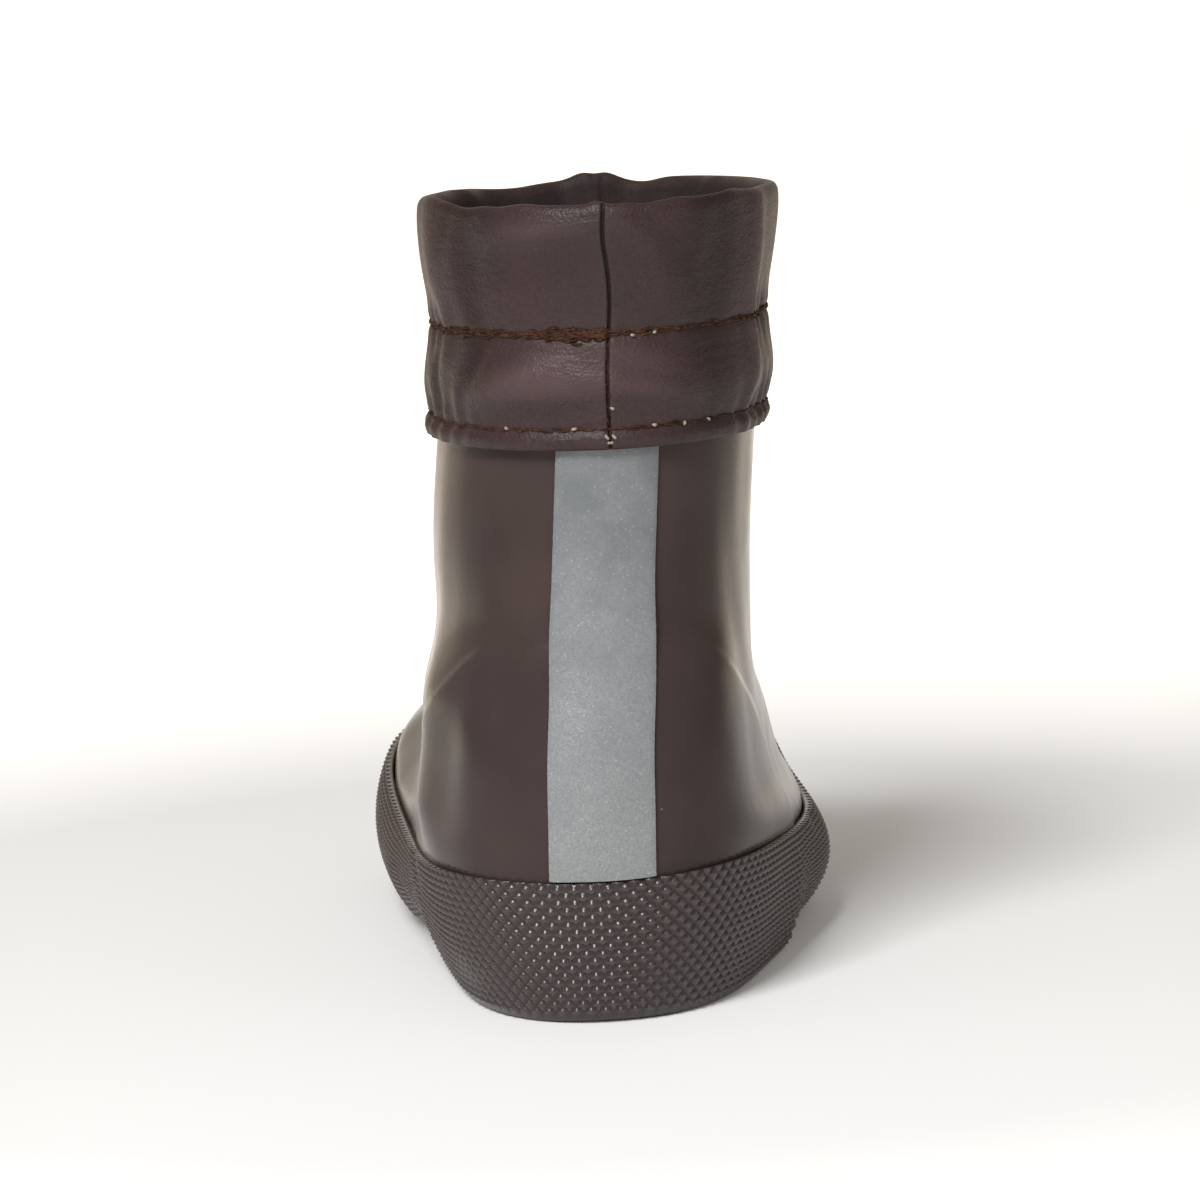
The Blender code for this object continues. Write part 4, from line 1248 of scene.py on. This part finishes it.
# Studio
# A wide pale matt floor with a glow painted into it at the back of the set, soft light from all round
# that is brightest there too, and one soft lamp high on the left. The camera stands behind the heel.
FLOOR_RINGS = np.array([0.0005, 0.1, 0.3, 0.8, 2.0, 5.0, 12.0])
FLOOR_SIDES = 96
FLOOR_DROP = 0.05 * MM
FLOOR_SHADE = (0.91, 0.91, 0.91, 1)
FLOOR_COLOUR = (0.94, 0.94, 0.94, 1)
CAMERA_PLACE = np.array([-5.54, -686.0, 140.44]) * MM
CAMERA_DOWN = math.radians(7.01)
CAMERA_TURN = math.radians(0.67)
CAMERA_ROLL = math.radians(-3.00)
CAMERA_FOCUS_PX = 3978.23
PICTURE_PX = 1200
SENSOR = 36.0
KEY_PLACE = np.array([-0.40, -0.92, 1.05])
KEY_AIM = np.array([0, -0.05, 0.07])
KEY_SIZE = 0.5
KEY_POWER = 17
WORLD_STRENGTH = 1.1

# A glow painted into the floor as emission, fixed to the floor. A lane widens from the point under the
# camera, that far back from the boot's middle, and a field fills the floor beyond the toe. An edge is
# where each starts and is full, by how straight ahead of its point a place lies. A reach is where it
# starts and is full, by the distance from the boot.
LANE_POINT, LANE_EDGE, LANE_REACH, LANE_STRENGTH = 0.69, (0.962, 0.990), (0.16, 0.50), (0.10, 1.15)
FIELD_POINT, FIELD_EDGE, FIELD_REACH, FIELD_STRENGTH = 0.05, (0.45, 0.92), (0.30, 0.42), (0.15, 1.0)
LANE_TINT_REACH = (0.25, 0.6)
LANE_NEAR_TINT = (1.0, 0.95, 0.88, 1)
LANE_FAR_TINT = (1.0, 0.88, 0.74, 1)
FIELD_TINT = (1.0, 0.82, 0.59, 1)

# Colours of the light from all round, by the share of the way from behind the camera to straight ahead.
Backdrop = namedtuple("Backdrop", "name share red green blue")
BACKDROP = [
    Backdrop("behind_camera", 0.0, 0.32, 0.317, 0.312),
    Backdrop("camera_side", 0.30, 0.26, 0.257, 0.253),
    Backdrop("sides", 0.50, 0.19, 0.187, 0.183),
    Backdrop("dark_flank", 0.82, 0.15, 0.144, 0.132),
    Backdrop("beige_start", 0.875, 0.60, 0.50, 0.37),
    Backdrop("beige_end", 0.97, 0.66, 0.56, 0.43),
    Backdrop("white_start", 0.99, 1.0, 0.99, 0.975),
    Backdrop("white", 1.0, 1.0, 0.99, 0.975),
]


def straight_share(tree, place, point):
    """How straight ahead a place lies from a point that far back from the boot: 1 is straight."""
    moved = {0: place, 1: (0, point, 0)}
    moved = add_node(tree, "ShaderNodeVectorMath", moved, operation="ADD").outputs[0]
    way = add_node(tree, "ShaderNodeVectorMath", {0: moved}, operation="NORMALIZE").outputs[0]
    return add_node(tree, "ShaderNodeSeparateXYZ", {"Vector": way}).outputs["Y"]


def pale_floor():
    """Matt white with faint clouds and a painted glow: emission from the stronger of the lane and the
    field.
    """
    made, tree, shader, place = new_material("pale_floor")
    tone = mixed(tree, noise(tree, place, 3, 2), FLOOR_SHADE, FLOOR_COLOUR)
    away = add_node(tree, "ShaderNodeVectorMath", {0: place}, operation="LENGTH").outputs["Value"]
    in_lane = ranged(tree, straight_share(tree, place, LANE_POINT), *LANE_EDGE, 0.0, 1.0)
    lane = combined(tree, "MULTIPLY", in_lane, ranged(tree, away, *LANE_REACH, *LANE_STRENGTH))
    field = ranged(tree, straight_share(tree, place, FIELD_POINT), *FIELD_EDGE, *FIELD_STRENGTH)
    field = combined(tree, "MULTIPLY", field, ranged(tree, away, *FIELD_REACH, 0.0, 1.0))
    tint = mixed(tree, ranged(tree, away, *LANE_TINT_REACH, 0.0, 1.0), LANE_NEAR_TINT, LANE_FAR_TINT)
    tint = mixed(tree, in_lane, FIELD_TINT, tint)
    glow = combined(tree, "MAXIMUM", lane, field)
    set_inputs(tree, shader, {"Base Color": tone, "Emission Color": tint, "Emission Strength": glow})
    set_inputs(tree, shader, {"Roughness": 0.9, "Specular IOR Level": 0.1})
    return made


def make_floor():
    """Flat disc from rings of growing radius."""
    radius = FLOOR_RINGS[:, None]
    angle = np.linspace(0, 2 * math.pi, FLOOR_SIDES, endpoint=False)[None, :]
    level = np.full((len(FLOOR_RINGS), FLOOR_SIDES), -FLOOR_DROP)
    points = np.stack([radius * np.cos(angle), radius * np.sin(angle), level], axis=-1)
    faces = grid_faces(len(FLOOR_RINGS), FLOOR_SIDES, round_columns=True)[:, ::-1]
    mesh_piece("floor", points, faces, [pale_floor()])


def make_world():
    """Light from all round, in the backdrop's colours by how far ahead a direction points."""
    world = bpy.data.worlds.new("studio")
    world.use_nodes = True
    tree = world.node_tree
    way = add_node(tree, "ShaderNodeTexCoord").outputs["Generated"]
    forward = add_node(tree, "ShaderNodeSeparateXYZ", {"Vector": way}).outputs["Y"]
    share = ranged(tree, forward, -1.0, 1.0, 0.0, 1.0)
    ramp = add_node(tree, "ShaderNodeValToRGB", {"Fac": share})
    for glow in BACKDROP[1:-1]:
        ramp.color_ramp.elements.new(glow.share)
    for stop, glow in zip(ramp.color_ramp.elements, BACKDROP):
        stop.color = (glow.red, glow.green, glow.blue, 1)
    tree.links.new(ramp.outputs["Color"], tree.nodes["Background"].inputs["Color"])
    tree.nodes["Background"].inputs["Strength"].default_value = WORLD_STRENGTH
    bpy.context.scene.world = world


def make_lamp():
    """Square soft lamp at its place, turned to its aim."""
    data = bpy.data.lights.new("key_lamp", "AREA")
    data.energy = KEY_POWER
    data.size = KEY_SIZE
    lamp = bpy.data.objects.new("key_lamp", data)
    bpy.context.scene.collection.objects.link(lamp)
    lamp.location = KEY_PLACE
    ahead = KEY_AIM - KEY_PLACE
    lamp.rotation_euler = (
        math.atan2(math.hypot(ahead[0], ahead[1]), -ahead[2]),
        0,
        math.atan2(-ahead[0], ahead[1]),
    )


def make_camera():
    """Camera at the photo's place, turned by its yaw, pitch and roll."""
    down, turn, roll = CAMERA_DOWN, CAMERA_TURN, CAMERA_ROLL
    level = math.cos(down)
    ahead = np.array([math.sin(turn) * level, math.cos(turn) * level, -math.sin(down)])
    right = np.array([math.cos(turn), -math.sin(turn), 0])
    up = np.cross(right, ahead)
    across = right * math.cos(roll) + up * math.sin(roll)
    above = up * math.cos(roll) - right * math.sin(roll)
    data = bpy.data.cameras.new("photo_camera")
    data.sensor_fit = "HORIZONTAL"
    data.sensor_width = SENSOR
    data.lens = CAMERA_FOCUS_PX / PICTURE_PX * SENSOR
    data.clip_start = 0.05
    data.clip_end = 50
    camera = bpy.data.objects.new("photo_camera", data)
    bpy.context.scene.collection.objects.link(camera)
    turned = Matrix(np.column_stack([across, above, -ahead]).tolist()).to_4x4()
    turned.translation = CAMERA_PLACE.tolist()
    camera.matrix_world = turned
    bpy.context.scene.camera = camera


make_floor()
make_world()
make_lamp()
make_camera()
bpy.context.scene.view_settings.view_transform = "Standard"
